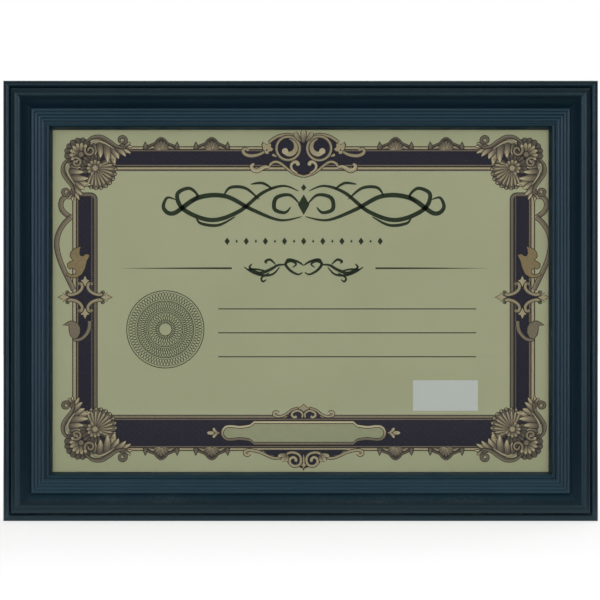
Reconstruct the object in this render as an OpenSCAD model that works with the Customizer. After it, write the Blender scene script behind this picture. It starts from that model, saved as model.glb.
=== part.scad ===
// Landscape certificate frame: four mitred mouldings round a glazed pocket, with turn
// buttons, two hanging rings and a folding easel leg on the back.
// Millimetres. X runs along the long side, Z is up and the face looks towards -Y.
// The origin is the middle of the bottom edge, halfway through the moulding's depth.

/* [Sheet and backing] */
// Width of the certificate sheet
sheet_w = 300; // [220:1:420]
// Height of the certificate sheet
sheet_h = 210; // [190:1:300]
// Thickness of the certificate sheet
sheet_t = 0.3; // [0.2:0.05:1]
// Thickness of the glass pane
glass_t = 2; // [1.5:0.1:3]
// Thickness of the corrugated filler card
filler_t = 2.4; // [1:0.1:3]
// Thickness of the hardboard back
board_t = 3; // [2.5:0.1:4]
// Play between the sheet and the wall of its pocket, on every side
sheet_play = 1; // [0.6:0.1:2]
// Play between the glass or the board and the wall of the pocket, on every side
pane_play = 0.5; // [0.3:0.1:0.9]

/* [Moulding] */
// Width of the moulding's face
rail_w = 28.5; // [27:0.5:40]
// Depth of the moulding, front to back
rail_d = 17; // [16.5:0.5:24]
// How far the moulding covers the pocket in front
lip_w = 6; // [4:0.5:7]
// Thickness of the lip at the sight edge
nose_t = 1.8; // [1:0.1:2.4]
// Hairline at each mitre
mitre_gap = 0.06; // [0.04:0.01:0.2]

/* [Beads and cove] */
// Radius of the small bead along the outer edge
edge_bead_r = 2.2; // [1.6:0.1:2.4]
// How far the outer bead's crest lies below the face
edge_bead_drop = 2.1; // [1.4:0.1:3]
// Width of the quirk between the two outer beads
quirk_w = 0.5; // [0.3:0.1:0.8]
// How far the quirk's floor lies below the face
quirk_drop = 4.4; // [3.8:0.1:5]
// Radius of the main bead
main_bead_r = 4.2; // [3.6:0.1:5]
// Distance from the main bead's crest to its outer flank
main_bead_half = 3; // [2.4:0.1:3.4]
// How far the cove's end lies below the face
cove_drop = 5; // [4.6:0.1:5.4]
// How steep the cove ends, as a share of a straight slope
cove_end_share = 0.7; // [0.3:0.05:0.9]
// Number of reeds
reed_n = 4; // [2:1:4]
// Distance from one reed to the next
reed_pitch = 1.95; // [1.6:0.05:2.2]
// Radius of a reed
reed_r = 1.4; // [1.2:0.1:1.8]
// How far the reeds' crests lie below the face
reed_drop = 3.4; // [3:0.1:3.6]
// Width of the groove between the reeds and the sight bead
groove_w = 0.6; // [0.5:0.1:1.4]
// How far the groove's floor lies below the face
groove_drop = 4.8; // [4.2:0.1:5.6]
// Radius of the sight bead
sight_bead_r = 1.4; // [1.2:0.1:2]
// How far the sight bead's crest lies below the face
sight_bead_drop = 3.6; // [3:0.1:4.2]
// Width of the slope from the sight bead to the sight edge
slope_w = 1.2; // [1:0.1:1.8]

/* [Corner nails] */
// Length of each leg of a corner nail
nail_leg = 5; // [4:0.5:6]
// Thickness of a corner nail
nail_t = 0.5; // [0.4:0.1:0.8]
// Length that a corner nail reaches into the mouldings
nail_depth = 9; // [6:0.5:10]
// Distance of the outer nail from the outer faces
nail_first = 4; // [3:0.5:5]
// Distance from the outer nail to the inner one
nail_step = 8; // [7:0.5:9]

/* [Turn buttons] */
// Distance of the buttons on the long sides from the middle
button_x = 85; // [60:1:90]
// Distance of a button's screw from the wall of the pocket
button_seat = 7; // [6:0.5:8]
// Length from a button's screw to its tip
button_l = 14.5; // [13:0.5:15]
// Radius of a button's round head
button_head_r = 4.2; // [3.8:0.1:4.5]
// Radius of a button's tip
button_tip_r = 2.7; // [2:0.1:3.2]
// Thickness of a button
button_t = 1; // [0.8:0.1:1.5]
// Height of the rib pressed in a button
button_rib_h = 0.4; // [0.2:0.1:0.5]
// Radius of a button's screw
screw_r = 1.5; // [1.2:0.1:1.8]
// Radius of the screw's head
screw_head_r = 3; // [2.6:0.1:3.4]
// Height of the screw's head
screw_head_h = 1.7; // [1.2:0.1:2.2]
// Height of the dome on the screw's head
screw_dome_h = 0.8; // [0.4:0.1:1]
// Depth that the screw reaches into the moulding
screw_depth = 9.5; // [7:0.5:10]
// Length of the screw's point
screw_point_l = 2; // [1:0.5:3]

/* [Hanging rings] */
// Distance of a strap's end from the edge of the board
hanger_inset = 12; // [11:0.5:14]
// Width of the strap
strap_w = 10; // [8:0.5:12]
// Width of the strap's rolled loop
loop_w = 7; // [5:0.5:7.5]
// Thickness of the strap
strap_t = 0.8; // [0.6:0.1:1]
// Radius of the ring's wire
wire_r = 0.9; // [0.7:0.1:1]
// Radius of the ring's bow, to the middle of its wire
ring_r = 8.5; // [8:0.1:9]

/* [Easel leg] */
// Thickness of the leg
leg_t = 3; // [2.5:0.1:4]
// Width of the leg at its hinge
leg_top_w = 34; // [32:1:40]
// Width of the leg at its foot
leg_foot_w = 64; // [50:1:80]
// Corner radius of the leg
leg_corner_r = 3; // [2:0.5:5]
// Height of the folded leg's foot above the table
foot_lift = 4; // [3:0.5:10]
// Gap between the folded leg and the board
leg_gap = 0.6; // [0.5:0.1:1]
// Drop of the hinge below the top edge of the board
hinge_drop = 62; // [62:1:70]
// Angle that the leg opens to
open_angle = 30; // [24:1:40]
// Width of the hinge
hinge_w = 30; // [28:1:32]
// Width of the hinge's middle knuckle, with its clearance
knuckle_w = 10; // [8:1:12]
// Length of each leaf, from the pin
leaf_l = 16; // [15:1:18]
// Thickness of the leaves
leaf_t = 0.8; // [0.7:0.1:0.9]
// How far a knuckle stands proud of the leaf on the leg
knuckle_proud = 0.1; // [0.06:0.02:0.3]
// Corner radius of the leaves
leaf_corner_r = 3; // [2:0.5:4]
// Distance of the hinge's rivets from its middle
rivet_x = 9; // [8:0.5:10]
// Distance of the hinge's rivets from its pin
rivet_z = 11; // [10:0.5:12]
// Radius of a rivet
rivet_r = 1.3; // [1:0.1:1.5]
// Radius of a rivet's heads
rivet_head_r = 2.4; // [2:0.1:2.6]
// Height of a rivet's domed head
rivet_head_h = 0.9; // [0.6:0.1:1]
// Thickness of the head that the rivet's clinched end makes
clinch_t = 0.6; // [0.4:0.1:0.8]

/* [Hidden] */

$fn = 48;
corner_steps = 8;    // steps round a corner of the leg

// Clearances
cut = 0.5;           // overrun of every cutting solid
press_clear = 0.02;  // round a pressed nail, screw, rivet or pin
run_clear = 0.05;    // round a pin or a bar that turns
slide_gap = 0.15;    // between flat faces that slide
swing_gap = 0.3;     // round a knuckle or a loop that swings
stop_gap = 0.1;      // left at the leg's stop

// Overall sizes
pocket_w = sheet_w + 2 * sheet_play;
pocket_h = sheet_h + 2 * sheet_play;
pane_w = pocket_w - 2 * pane_play;
pane_h = pocket_h - 2 * pane_play;
wall_w = rail_w - lip_w;             // from the outer face to the wall of the pocket
outer_w = pocket_w + 2 * wall_w;
outer_h = pocket_h + 2 * wall_w;
stack_t = glass_t + sheet_t + filler_t + board_t;
back_y = rail_d / 2;                 // the plane of the mouldings' and the board's backs
glass_y = back_y - stack_t;          // front of the glass, against the lip
sheet_y = glass_y + glass_t;
filler_y = sheet_y + sheet_t;
board_y = filler_y + filler_t;

// The moulding's section: u from the outer face, v up from the back
lip_mid_v = stack_t + nose_t / 2;
edge_bead_v = rail_d - edge_bead_drop - edge_bead_r;
quirk_u = 2 * edge_bead_r;
main_bead_u = quirk_u + quirk_w + main_bead_half;
main_bead_v = rail_d - main_bead_r;
slope_u = rail_w - slope_w;
sight_bead_v = rail_d - sight_bead_drop - sight_bead_r;
groove_end_u = slope_u - 2 * sight_bead_r;
groove_u = groove_end_u - groove_w;
reeds_u = groove_u - reed_n * reed_pitch;
reed_v = rail_d - reed_drop - reed_r;
cove_v = rail_d - cove_drop;

// The cove is the arc that leaves the main bead without a break and ends at the reeds
cove_run = reeds_u - main_bead_u;
cove_fall = main_bead_v - cove_v;
straight_angle = asin(main_bead_r / norm([cove_run, cove_fall])) + atan2(cove_fall, cove_run);
cove_end_angle = cove_end_share * straight_angle;
cove_r = (pow(cove_run, 2) + pow(cove_fall, 2) - pow(main_bead_r, 2))
    / (2 * (main_bead_r - cove_run * sin(cove_end_angle) + cove_fall * cos(cove_end_angle)));
cove_centre_u = reeds_u + cove_r * sin(cove_end_angle);
cove_centre_v = cove_v + cove_r * cos(cove_end_angle);
meet_v = main_bead_v + (cove_centre_v - main_bead_v) * main_bead_r / (main_bead_r + cove_r);

// Backs of the mouldings and the board
board_top_z = outer_h - wall_w - pane_play;
board_left_x = -pane_w / 2;
button_u = wall_w - button_seat;
button_y = back_y + slide_gap;
head_y = button_y + button_t + slide_gap;
rib_r = button_tip_r / 2;
recess_w = screw_head_r / 4;
recess_l = screw_head_r;
recess_h = screw_head_h / 2;

// Hangers: the bar lies across the strap, the strap runs from it to the board's edge
loop_in_r = wire_r + run_clear;
loop_out_r = loop_in_r + strap_t;
bar_rise = strap_t + swing_gap + wire_r;
bar_half = loop_w / 2 + 2 * wire_r;
bow_drop = sqrt(pow(ring_r, 2) - pow(bar_half, 2));
bow_angle = atan2(bow_drop, bar_half);
bow_reach = bow_drop + ring_r;
strap_rivet_l = (loop_out_r + bow_reach - wire_r) / 2;
strap_l = strap_rivet_l + strap_w / 2;
bar_y = back_y + bar_rise;
hanger_z = board_top_z - hanger_inset - strap_l;
hanger_x = board_left_x + hanger_inset + strap_l;

// Easel leg and its hinge
leg_y = back_y + leg_gap;
leaf_y = leg_y + leg_t;
knuckle_r = (leg_gap + leg_t + leaf_t + knuckle_proud - swing_gap) / 2;
pin_r = knuckle_r - leaf_t;
axis_y = back_y + swing_gap + knuckle_r;
axis_z = board_top_z - hinge_drop;
knuckle_clear = knuckle_r + swing_gap;      // height kept free round a knuckle
leg_top_z = axis_z - knuckle_clear;
middle_w = knuckle_w - 2 * swing_gap;
tongue_l = ((leaf_y - axis_y) * cos(open_angle) + axis_y - back_y - leaf_t - stop_gap)
    / sin(open_angle);

// Flat shape in the XZ plane, from y0 backwards
module plate(y0, thickness) {
    translate([0, y0 + thickness, 0])
        rotate([90, 0, 0])
            linear_extrude(height = thickness)
                children();
}

// Round bar along Y, from y0 backwards
module peg(y0, length, radius) {
    translate([0, y0, 0])
        rotate([-90, 0, 0])
            cylinder(r = radius, h = length);
}

// Spherical cap that stands on the plane y0 and looks backwards
module dome(y0, radius, height) {
    ball_r = (pow(radius, 2) + pow(height, 2)) / (2 * height);
    intersection() {
        translate([0, y0 + height - ball_r, 0])
            sphere(r = ball_r);
        translate([-2 * radius, y0, -2 * radius])
            cube([4 * radius, 2 * height, 4 * radius]);
    }
}

// Sheet that is centred on X, with its lower edge at z0
module sheet(w, h, y0, thickness, z0) {
    translate([-w / 2, y0, z0])
        cube([w, thickness, h]);
}

// Ground of the section, from the lip's middle up to v
module ground(u0, u1, v) {
    translate([u0, lip_mid_v])
        square([u1 - u0, v - lip_mid_v]);
}

module bead(u, v, radius) {
    ground(u - radius, u + radius, v);
    translate([u, v])
        circle(r = radius);
}

// The bead's outer flank is cut square, as a quirk's wall is
module main_bead() {
    intersection() {
        bead(main_bead_u, main_bead_v, main_bead_r);
        ground(main_bead_u - main_bead_half, main_bead_u + main_bead_r, rail_d);
    }
}

module cove() {
    difference() {
        ground(main_bead_u, reeds_u, meet_v);
        translate([cove_centre_u, cove_centre_v])
            circle(r = cove_r);
    }
}

module reeds() {
    ground(reeds_u, groove_u, reed_v);
    intersection() {
        ground(reeds_u, groove_u, rail_d);
        for (i = [0 : reed_n - 1])
            translate([reeds_u + (i + 1 / 2) * reed_pitch, reed_v])
                circle(r = reed_r);
    }
}

module sight_slope() {
    polygon([
        [slope_u, lip_mid_v],
        [rail_w, lip_mid_v],
        [rail_w, stack_t + nose_t],
        [slope_u, sight_bead_v]
    ]);
}

module rail_section() {
    square([wall_w, lip_mid_v]);
    translate([0, stack_t])
        square([rail_w, nose_t]);
    bead(edge_bead_r, edge_bead_v, edge_bead_r);
    ground(0, main_bead_u, rail_d - quirk_drop);
    main_bead();
    cove();
    reeds();
    ground(groove_u, slope_u, rail_d - groove_drop);
    bead(slope_u - sight_bead_r, sight_bead_v, sight_bead_r);
    sight_slope();
}

// Room that the two mitres leave to a rail of this outer length
module mitre_wedge(length) {
    half = (length - sqrt(2) * mitre_gap) / 2;
    plate(-back_y - cut, rail_d + 2 * cut)
        polygon([
            [-half - cut, -cut],
            [half + cut, -cut],
            [half - rail_w - cut, rail_w + cut],
            [-half + rail_w + cut, rail_w + cut]
        ]);
}

// The two nails of a corner at the origin, whose rails run along +X and +Z
module corner_nails(y0, depth, grow) {
    for (i = [0, 1])
        translate([nail_first + i * nail_step, 0, nail_first + i * nail_step])
            plate(y0, depth)
                translate([-grow, -grow]) {
                    square([nail_leg + 2 * grow, nail_t + 2 * grow]);
                    square([nail_t + 2 * grow, nail_leg + 2 * grow]);
                }
}

// A rail along X with its outer face at z = 0 and its screws at the given places
module rail(length, screw_places) {
    pocket = nail_depth + press_clear;
    color("#1c2a33")
        difference() {
            intersection() {
                translate([0, back_y, 0])
                    rotate([0, -90, 180])
                        linear_extrude(height = length, center = true)
                            rail_section();
                mitre_wedge(length);
            }
            for (side = [0, 1])
                mirror([side, 0, 0])
                    translate([-length / 2, 0, 0])
                        corner_nails(back_y - pocket, pocket + cut, press_clear);
            for (x = screw_places)
                translate([x, 0, button_u])
                    peg(back_y - screw_depth, screw_depth + cut, screw_r + press_clear);
        }
}

module rail_bottom() {
    rail(outer_w, [-button_x, button_x]);
}

module rail_top() {
    translate([0, 0, outer_h])
        rotate([0, 180, 0])
            rail(outer_w, [-button_x, button_x]);
}

module rail_left() {
    translate([-outer_w / 2, 0, outer_h / 2])
        rotate([0, 90, 0])
            rail(outer_h, [0]);
}

module rail_right() {
    translate([outer_w / 2, 0, outer_h / 2])
        rotate([0, -90, 0])
            rail(outer_h, [0]);
}

module corner_v_nails() {
    color("#8d9196")
        translate([0, 0, outer_h / 2])
            for (across = [0, 1], up = [0, 1])
                mirror([across, 0, 0])
                    mirror([0, 0, up])
                        translate([-outer_w / 2, 0, -outer_h / 2])
                            corner_nails(back_y - nail_depth, nail_depth, 0);
}

module glass_pane() {
    color("#dfe9e6", 0.4)
        sheet(pane_w, pane_h, glass_y, glass_t, wall_w + pane_play);
}

module certificate_sheet() {
    color("#9d9e7d")
        sheet(sheet_w, sheet_h, sheet_y, sheet_t, wall_w + sheet_play);
}

module filler_card() {
    color("#b08f62")
        sheet(pane_w, pane_h, filler_y, filler_t, wall_w + pane_play);
}

// Hole for a rivet, with the counterbore of its clinched end at y0
module rivet_hole(y0, thickness) {
    peg(y0 - cut, thickness + 2 * cut, rivet_r + press_clear);
    peg(y0 - cut, clinch_t + cut, rivet_head_r + press_clear);
}

// Rivet from its clinched end at y0 to its domed head's seat at y1
module rivet(y0, y1) {
    peg(y0, y1 - y0, rivet_r);
    peg(y0, clinch_t, rivet_head_r);
    dome(y1, rivet_head_r, rivet_head_h);
}

// Places of the rivets on one side of the hinge's pin: 1 is above it and -1 below
module hinge_rivet_places(side) {
    for (x = [-rivet_x, rivet_x])
        translate([x, 0, axis_z + side * rivet_z])
            children();
}

module at_top_hanger() {
    translate([0, 0, hanger_z])
        children();
}

module at_side_hanger() {
    translate([hanger_x, 0, outer_h / 2])
        rotate([0, -90, 0])
            children();
}

module hanger_rivet_place() {
    translate([0, 0, strap_rivet_l])
        children();
}

module backing_board() {
    color("#7a5a3c")
        difference() {
            sheet(pane_w, pane_h, board_y, board_t, wall_w + pane_play);
            at_top_hanger()
                hanger_rivet_place()
                    rivet_hole(board_y, board_t);
            at_side_hanger()
                hanger_rivet_place()
                    rivet_hole(board_y, board_t);
            hinge_rivet_places(1)
                rivet_hole(board_y, board_t);
        }
}

// Outline of a button: two circles and the flanks that touch both
module button_outline() {
    tip_z = button_l - button_tip_r;
    lean = asin((button_head_r - button_tip_r) / tip_z);
    across = cos(lean);
    along = sin(lean);
    circle(r = button_head_r);
    translate([0, tip_z])
        circle(r = button_tip_r);
    polygon([
        [button_head_r * across, button_head_r * along],
        [button_tip_r * across, tip_z + button_tip_r * along],
        [-button_tip_r * across, tip_z + button_tip_r * along],
        [-button_head_r * across, button_head_r * along]
    ]);
}

// Outline of the rib, from beside the screw's head to the middle of the tip
module rib_outline(radius) {
    rib_start = screw_head_r + swing_gap + rib_r;
    rib_end = button_l - button_tip_r;
    translate([-radius, rib_start])
        square([2 * radius, rib_end - rib_start]);
    for (z = [rib_start, rib_end])
        translate([0, z])
            circle(r = radius);
}

// Button whose screw is at the origin and whose tail points up
module turn_button() {
    color("#b9a26a")
        difference() {
            union() {
                plate(button_y, button_t)
                    button_outline();
                plate(button_y + button_t / 2, button_t / 2 + button_rib_h)
                    rib_outline(rib_r);
            }
            plate(button_y - cut, cut + button_rib_h)
                rib_outline(rib_r - button_rib_h);
            peg(button_y - cut, button_t + 2 * cut, screw_r + run_clear);
        }
}

// Places of the buttons by name, each turned so that its tail points at the board
module at_button(name) {
    side_x = outer_w / 2 - button_u;
    if (name == "top_left")
        translate([-button_x, 0, outer_h - button_u])
            rotate([0, 180, 0])
                children();
    if (name == "top_right")
        translate([button_x, 0, outer_h - button_u])
            rotate([0, 180, 0])
                children();
    if (name == "bottom_left")
        translate([-button_x, 0, button_u])
            children();
    if (name == "bottom_right")
        translate([button_x, 0, button_u])
            children();
    if (name == "left")
        translate([-side_x, 0, outer_h / 2])
            rotate([0, 90, 0])
                children();
    if (name == "right")
        translate([side_x, 0, outer_h / 2])
            rotate([0, -90, 0])
                children();
}

// Pan head with a cross recess: a cylinder that a ball's cap rounds off
module screw_head() {
    ball_r = (pow(screw_head_r, 2) + pow(screw_dome_h, 2)) / (2 * screw_dome_h);
    difference() {
        intersection() {
            peg(head_y, screw_head_h, screw_head_r);
            translate([0, head_y + screw_head_h - ball_r, 0])
                sphere(r = ball_r);
        }
        for (turn = [45, 135])
            rotate([0, turn, 0])
                translate([-recess_l / 2, head_y + screw_head_h - recess_h, -recess_w / 2])
                    cube([recess_l, recess_h + cut, recess_w]);
    }
}

// Wood screw that passes through the button into the moulding
module button_screw() {
    point_y = back_y - screw_depth + screw_point_l;
    screw_head();
    peg(point_y, head_y - point_y, screw_r);
    translate([0, point_y, 0])
        rotate([90, 0, 0])
            cylinder(r1 = screw_r, r2 = screw_r / 4, h = screw_point_l);
}

module turn_button_screws() {
    color("#8d9196")
        for (name = ["top_left", "top_right", "bottom_left", "bottom_right", "left", "right"])
            at_button(name)
                button_screw();
}

// Strap that runs up from the bar at the origin to its round end
module hanger_strap() {
    shoulder = loop_out_r + swing_gap + wire_r;
    color("#a8a9a6")
        difference() {
            union() {
                plate(back_y, strap_t) {
                    translate([-loop_w / 2, 0])
                        square([loop_w, strap_rivet_l]);
                    translate([-strap_w / 2, shoulder])
                        square([strap_w, strap_rivet_l - shoulder]);
                    translate([0, strap_rivet_l])
                        circle(r = strap_w / 2);
                }
                translate([-loop_w / 2, bar_y, 0])
                    rotate([0, 90, 0])
                        cylinder(r = loop_out_r, h = loop_w);
            }
            translate([-loop_w / 2 - cut, bar_y, 0])
                rotate([0, 90, 0])
                    cylinder(r = loop_in_r, h = loop_w + 2 * cut);
            hanger_rivet_place()
                peg(back_y - cut, strap_t + 2 * cut, rivet_r + press_clear);
        }
}

// D-shaped wire ring that hangs down from the bar at the origin
module hanger_ring() {
    color("#c3c4c1")
        translate([0, bar_y, 0]) {
            translate([-bar_half, 0, 0])
                rotate([0, 90, 0])
                    cylinder(r = wire_r, h = 2 * bar_half);
            translate([0, 0, -bow_drop])
                rotate([90, 0, 0])
                    rotate([0, 0, 180 - bow_angle])
                        rotate_extrude(angle = 180 + 2 * bow_angle)
                            translate([ring_r, 0])
                                circle(r = wire_r);
            for (x = [-bar_half, bar_half])
                translate([x, 0, 0])
                    sphere(r = wire_r);
        }
}

module hanger_rivets() {
    color("#a8a9a6") {
        at_top_hanger()
            hanger_rivet_place()
                rivet(board_y, back_y + strap_t);
        at_side_hanger()
            hanger_rivet_place()
                rivet(board_y, back_y + strap_t);
    }
}

// Points along an arc from one angle to another
function arc(x, z, radius, from, to) = [
    for (i = [0 : corner_steps])
        let (a = from + (to - from) * i / corner_steps)
        [x + radius * cos(a), z + radius * sin(a)]
];

// Outline of the leg: a tapered panel with round corners, clockwise from its top right
module leg_outline() {
    taper = atan((leg_foot_w - leg_top_w) / 2 / (leg_top_z - foot_lift));
    top_z = leg_top_z - leg_corner_r;
    foot_z = foot_lift + leg_corner_r;
    top_x = leg_top_w / 2 + leg_corner_r * tan(taper) - leg_corner_r / cos(taper);
    foot_x = leg_foot_w / 2 - leg_corner_r * tan(taper) - leg_corner_r / cos(taper);
    polygon(concat(
        arc(top_x, top_z, leg_corner_r, 90, taper),
        arc(foot_x, foot_z, leg_corner_r, taper, -90),
        arc(-foot_x, foot_z, leg_corner_r, -90, -180 - taper),
        arc(-top_x, top_z, leg_corner_r, 180 - taper, 90)
    ));
}

module easel_leg() {
    color("#2b2b2d")
        difference() {
            plate(leg_y, leg_t)
                leg_outline();
            hinge_rivet_places(-1)
                rivet_hole(leg_y, leg_t);
        }
}

// Outline of a leaf that runs up from z0, with two round corners at its end
module leaf_outline(z0) {
    corner_x = hinge_w / 2 - leaf_corner_r;
    corner_z = leaf_l - leaf_corner_r;
    translate([-hinge_w / 2, z0])
        square([hinge_w, corner_z - z0]);
    translate([-corner_x, z0])
        square([2 * corner_x, leaf_l - z0]);
    for (side = [-1, 1])
        translate([side * corner_x, corner_z])
            circle(r = leaf_corner_r);
}

// Bar along X on the hinge's axis
module on_axis(x0, length, radius) {
    translate([x0, axis_y, axis_z])
        rotate([0, 90, 0])
            cylinder(r = radius, h = length);
}

module hinge_leaf_board() {
    side_w = (hinge_w - knuckle_w) / 2;
    color("#a8a9a6")
        difference() {
            union() {
                plate(back_y, leaf_t)
                    translate([0, axis_z])
                        leaf_outline(0);
                for (x = [-hinge_w / 2, knuckle_w / 2])
                    on_axis(x, side_w, knuckle_r);
            }
            plate(back_y - cut, leaf_t + 2 * cut)
                translate([-knuckle_w / 2, axis_z - cut])
                    square([knuckle_w, cut + knuckle_clear]);
            on_axis(-hinge_w / 2 - cut, hinge_w + 2 * cut, pin_r + press_clear);
            hinge_rivet_places(1)
                peg(back_y - cut, leaf_t + 2 * cut, rivet_r + press_clear);
        }
}

module hinge_leaf_leg() {
    color("#a8a9a6")
        difference() {
            union() {
                plate(leaf_y, leaf_t) {
                    translate([0, axis_z])
                        mirror([0, 1])
                            leaf_outline(knuckle_clear);
                    translate([-middle_w / 2, axis_z - knuckle_clear - leaf_corner_r])
                        square([middle_w, knuckle_clear + leaf_corner_r + tongue_l]);
                }
                on_axis(-middle_w / 2, middle_w, knuckle_r);
            }
            on_axis(-middle_w / 2 - cut, middle_w + 2 * cut, pin_r + run_clear);
            hinge_rivet_places(-1)
                peg(leaf_y - cut, leaf_t + 2 * cut, rivet_r + press_clear);
        }
}

module hinge_pin() {
    color("#c3c4c1")
        on_axis(-hinge_w / 2, hinge_w, pin_r);
}

module hinge_rivets_board() {
    color("#a8a9a6")
        hinge_rivet_places(1)
            rivet(board_y, back_y + leaf_t);
}

module hinge_rivets_leg() {
    color("#a8a9a6")
        hinge_rivet_places(-1)
            rivet(leg_y, leaf_y + leaf_t);
}

rail_top();
rail_bottom();
rail_left();
rail_right();
corner_v_nails();
glass_pane();
certificate_sheet();
filler_card();
backing_board();
at_button("top_left") turn_button();  // turn_button_top_left
at_button("top_right") turn_button();  // turn_button_top_right
at_button("bottom_left") turn_button();  // turn_button_bottom_left
at_button("bottom_right") turn_button();  // turn_button_bottom_right
at_button("left") turn_button();  // turn_button_left
at_button("right") turn_button();  // turn_button_right
turn_button_screws();
at_top_hanger() hanger_strap();  // hanger_strap_top
at_top_hanger() hanger_ring();  // hanger_ring_top
at_side_hanger() hanger_strap();  // hanger_strap_side
at_side_hanger() hanger_ring();  // hanger_ring_side
hanger_rivets();
easel_leg();
hinge_leaf_board();
hinge_leaf_leg();
hinge_pin();
hinge_rivets_board();
hinge_rivets_leg();
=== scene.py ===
# %% [markdown]
# This lesson dresses a certificate frame: four dark lacquered mouldings mitred round a glass
# pane, a printed sheet and a back board. The construction comes as finished solids in real
# sizes, so the lesson is about finishes and print.
# The first cell loads those solids. Sizes of the frame are written in millimetres and
# multiplied by MM, because Blender works in metres. The studio round it is in metres.

# %% Load the frame
import math

import bpy
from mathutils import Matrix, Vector
from mathutils.geometry import tessellate_polygon


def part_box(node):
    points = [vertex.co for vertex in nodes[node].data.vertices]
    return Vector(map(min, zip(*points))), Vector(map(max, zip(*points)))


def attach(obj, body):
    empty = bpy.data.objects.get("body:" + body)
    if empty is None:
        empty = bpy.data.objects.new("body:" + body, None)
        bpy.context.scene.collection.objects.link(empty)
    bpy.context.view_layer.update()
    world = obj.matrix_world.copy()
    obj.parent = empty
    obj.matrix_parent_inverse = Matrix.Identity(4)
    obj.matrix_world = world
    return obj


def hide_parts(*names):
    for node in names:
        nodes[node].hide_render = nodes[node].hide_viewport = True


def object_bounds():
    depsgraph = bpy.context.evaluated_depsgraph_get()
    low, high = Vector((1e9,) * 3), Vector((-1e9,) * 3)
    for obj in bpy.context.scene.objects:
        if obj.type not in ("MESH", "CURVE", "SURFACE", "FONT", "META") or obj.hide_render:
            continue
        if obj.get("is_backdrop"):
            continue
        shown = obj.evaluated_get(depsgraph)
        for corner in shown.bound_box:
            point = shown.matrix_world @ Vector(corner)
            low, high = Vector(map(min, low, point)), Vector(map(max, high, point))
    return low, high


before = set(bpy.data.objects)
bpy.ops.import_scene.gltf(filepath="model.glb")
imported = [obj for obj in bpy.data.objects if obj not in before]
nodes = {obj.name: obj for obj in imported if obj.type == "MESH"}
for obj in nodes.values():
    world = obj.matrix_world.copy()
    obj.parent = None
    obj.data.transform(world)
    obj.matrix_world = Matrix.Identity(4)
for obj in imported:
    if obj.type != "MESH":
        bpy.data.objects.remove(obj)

MM = 0.001
cad_low, cad_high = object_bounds()
print("solids loaded:", len(nodes), "box", [round(v / MM, 2) for v in (*cad_low, *cad_high)])


# %% [markdown]
# The camera comes first, because every choice of detail depends on what one pixel covers.
# A catalogue photograph of a frame is taken square on from far away, so that the mouldings
# stay parallel. A long lens two metres off does the same and still shows a little depth. An
# orthographic camera would also do, but it would not suit the views from the side.

# %% Camera
SENSOR_W = 36.0
PHOTO_SPAN = 349.4 * MM
EYE_REACH = 2000.0 * MM
AIM_X = -0.35 * MM
AIM_Z = 129.0 * MM

front_y = cad_low.y
camera_data = bpy.data.cameras.new("eye")
camera_data.sensor_width = SENSOR_W
camera_data.lens = SENSOR_W * EYE_REACH / PHOTO_SPAN
camera = bpy.data.objects.new("eye", camera_data)
bpy.context.collection.objects.link(camera)
camera.location = (AIM_X, front_y - EYE_REACH, AIM_Z)
look = Vector((AIM_X, front_y, AIM_Z)) - camera.location
camera.rotation_euler = look.to_track_quat("-Z", "Y").to_euler()
bpy.context.scene.camera = camera
print("lens", round(camera_data.lens, 1), "mm at", EYE_REACH, "m")


# %% [markdown]
# A material is a tree of nodes, and the same few steps come back in all of them. A Recipe
# wraps one tree: it adds nodes, feeds their sockets and does sums, so that each finish below
# reads like a recipe. A Finish is the recipe of one material. An Effect is the recipe of a
# node group, which many finishes share.
# Colours are written as the 0 to 255 values that a screen shows, and turned into the linear
# values that the renderer works with.

# %% Recipe for a node tree
MIX_INPUTS, MIX_OUTPUT = (0, 6, 7), 2


class Recipe:
    def __init__(self, tree):
        self.tree = tree

    def node(self, kind, **settings):
        made = self.tree.nodes.new(kind)
        for key, value in settings.items():
            setattr(made, key, value)
        return made

    def feed(self, socket, value):
        if isinstance(value, bpy.types.NodeSocket):
            self.tree.links.new(value, socket)
        else:
            socket.default_value = value

    def run(self, kind, *values, **settings):
        made = self.node(kind, **settings)
        for socket, value in zip(made.inputs, values):
            self.feed(socket, value)
        return made.outputs

    def place(self, effect, **values):
        made = self.node("ShaderNodeGroup", node_tree=effect.tree)
        for title, value in values.items():
            self.feed(made.inputs[title], value)
        return made.outputs

    def calc(self, operation, first, second=0.0, clamp=False):
        return self.run("ShaderNodeMath", first, second, operation=operation, use_clamp=clamp)[0]

    def plus(self, first, second, clamp=False):
        return self.calc("ADD", first, second, clamp)

    def minus(self, first, second):
        return self.calc("SUBTRACT", first, second)

    def times(self, first, second, clamp=False):
        return self.calc("MULTIPLY", first, second, clamp)

    def most(self, first, second):
        return self.calc("MAXIMUM", first, second)

    def fade(self, value, low, high, start=0.0, end=1.0):
        return self.run("ShaderNodeMapRange", value, low, high, start, end,
                        interpolation_type="SMOOTHSTEP")[0]

    def blend(self, factor, first, second):
        made = self.node("ShaderNodeMix", data_type="RGBA")
        for index, value in zip(MIX_INPUTS, (factor, first, second)):
            self.feed(made.inputs[index], value)
        return made.outputs[MIX_OUTPUT]

    def split(self, vector):
        return self.run("ShaderNodeSeparateXYZ", vector)

    def normal(self):
        return self.node("ShaderNodeNewGeometry").outputs["Normal"]

    def turned(self, vector, slant):
        made = self.node("ShaderNodeVectorRotate", rotation_type="Y_AXIS")
        self.feed(made.inputs["Vector"], vector)
        made.inputs["Angle"].default_value = math.radians(slant)
        return made.outputs["Vector"]

    def noise(self, vector, scale, detail, distortion=0.0):
        made = self.node("ShaderNodeTexNoise", noise_dimensions="3D")
        values = {"Vector": vector, "Scale": scale, "Detail": detail, "Distortion": distortion}
        for title, value in values.items():
            self.feed(made.inputs[title], value)
        return made.outputs["Fac"]


print("recipe ready")

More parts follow.
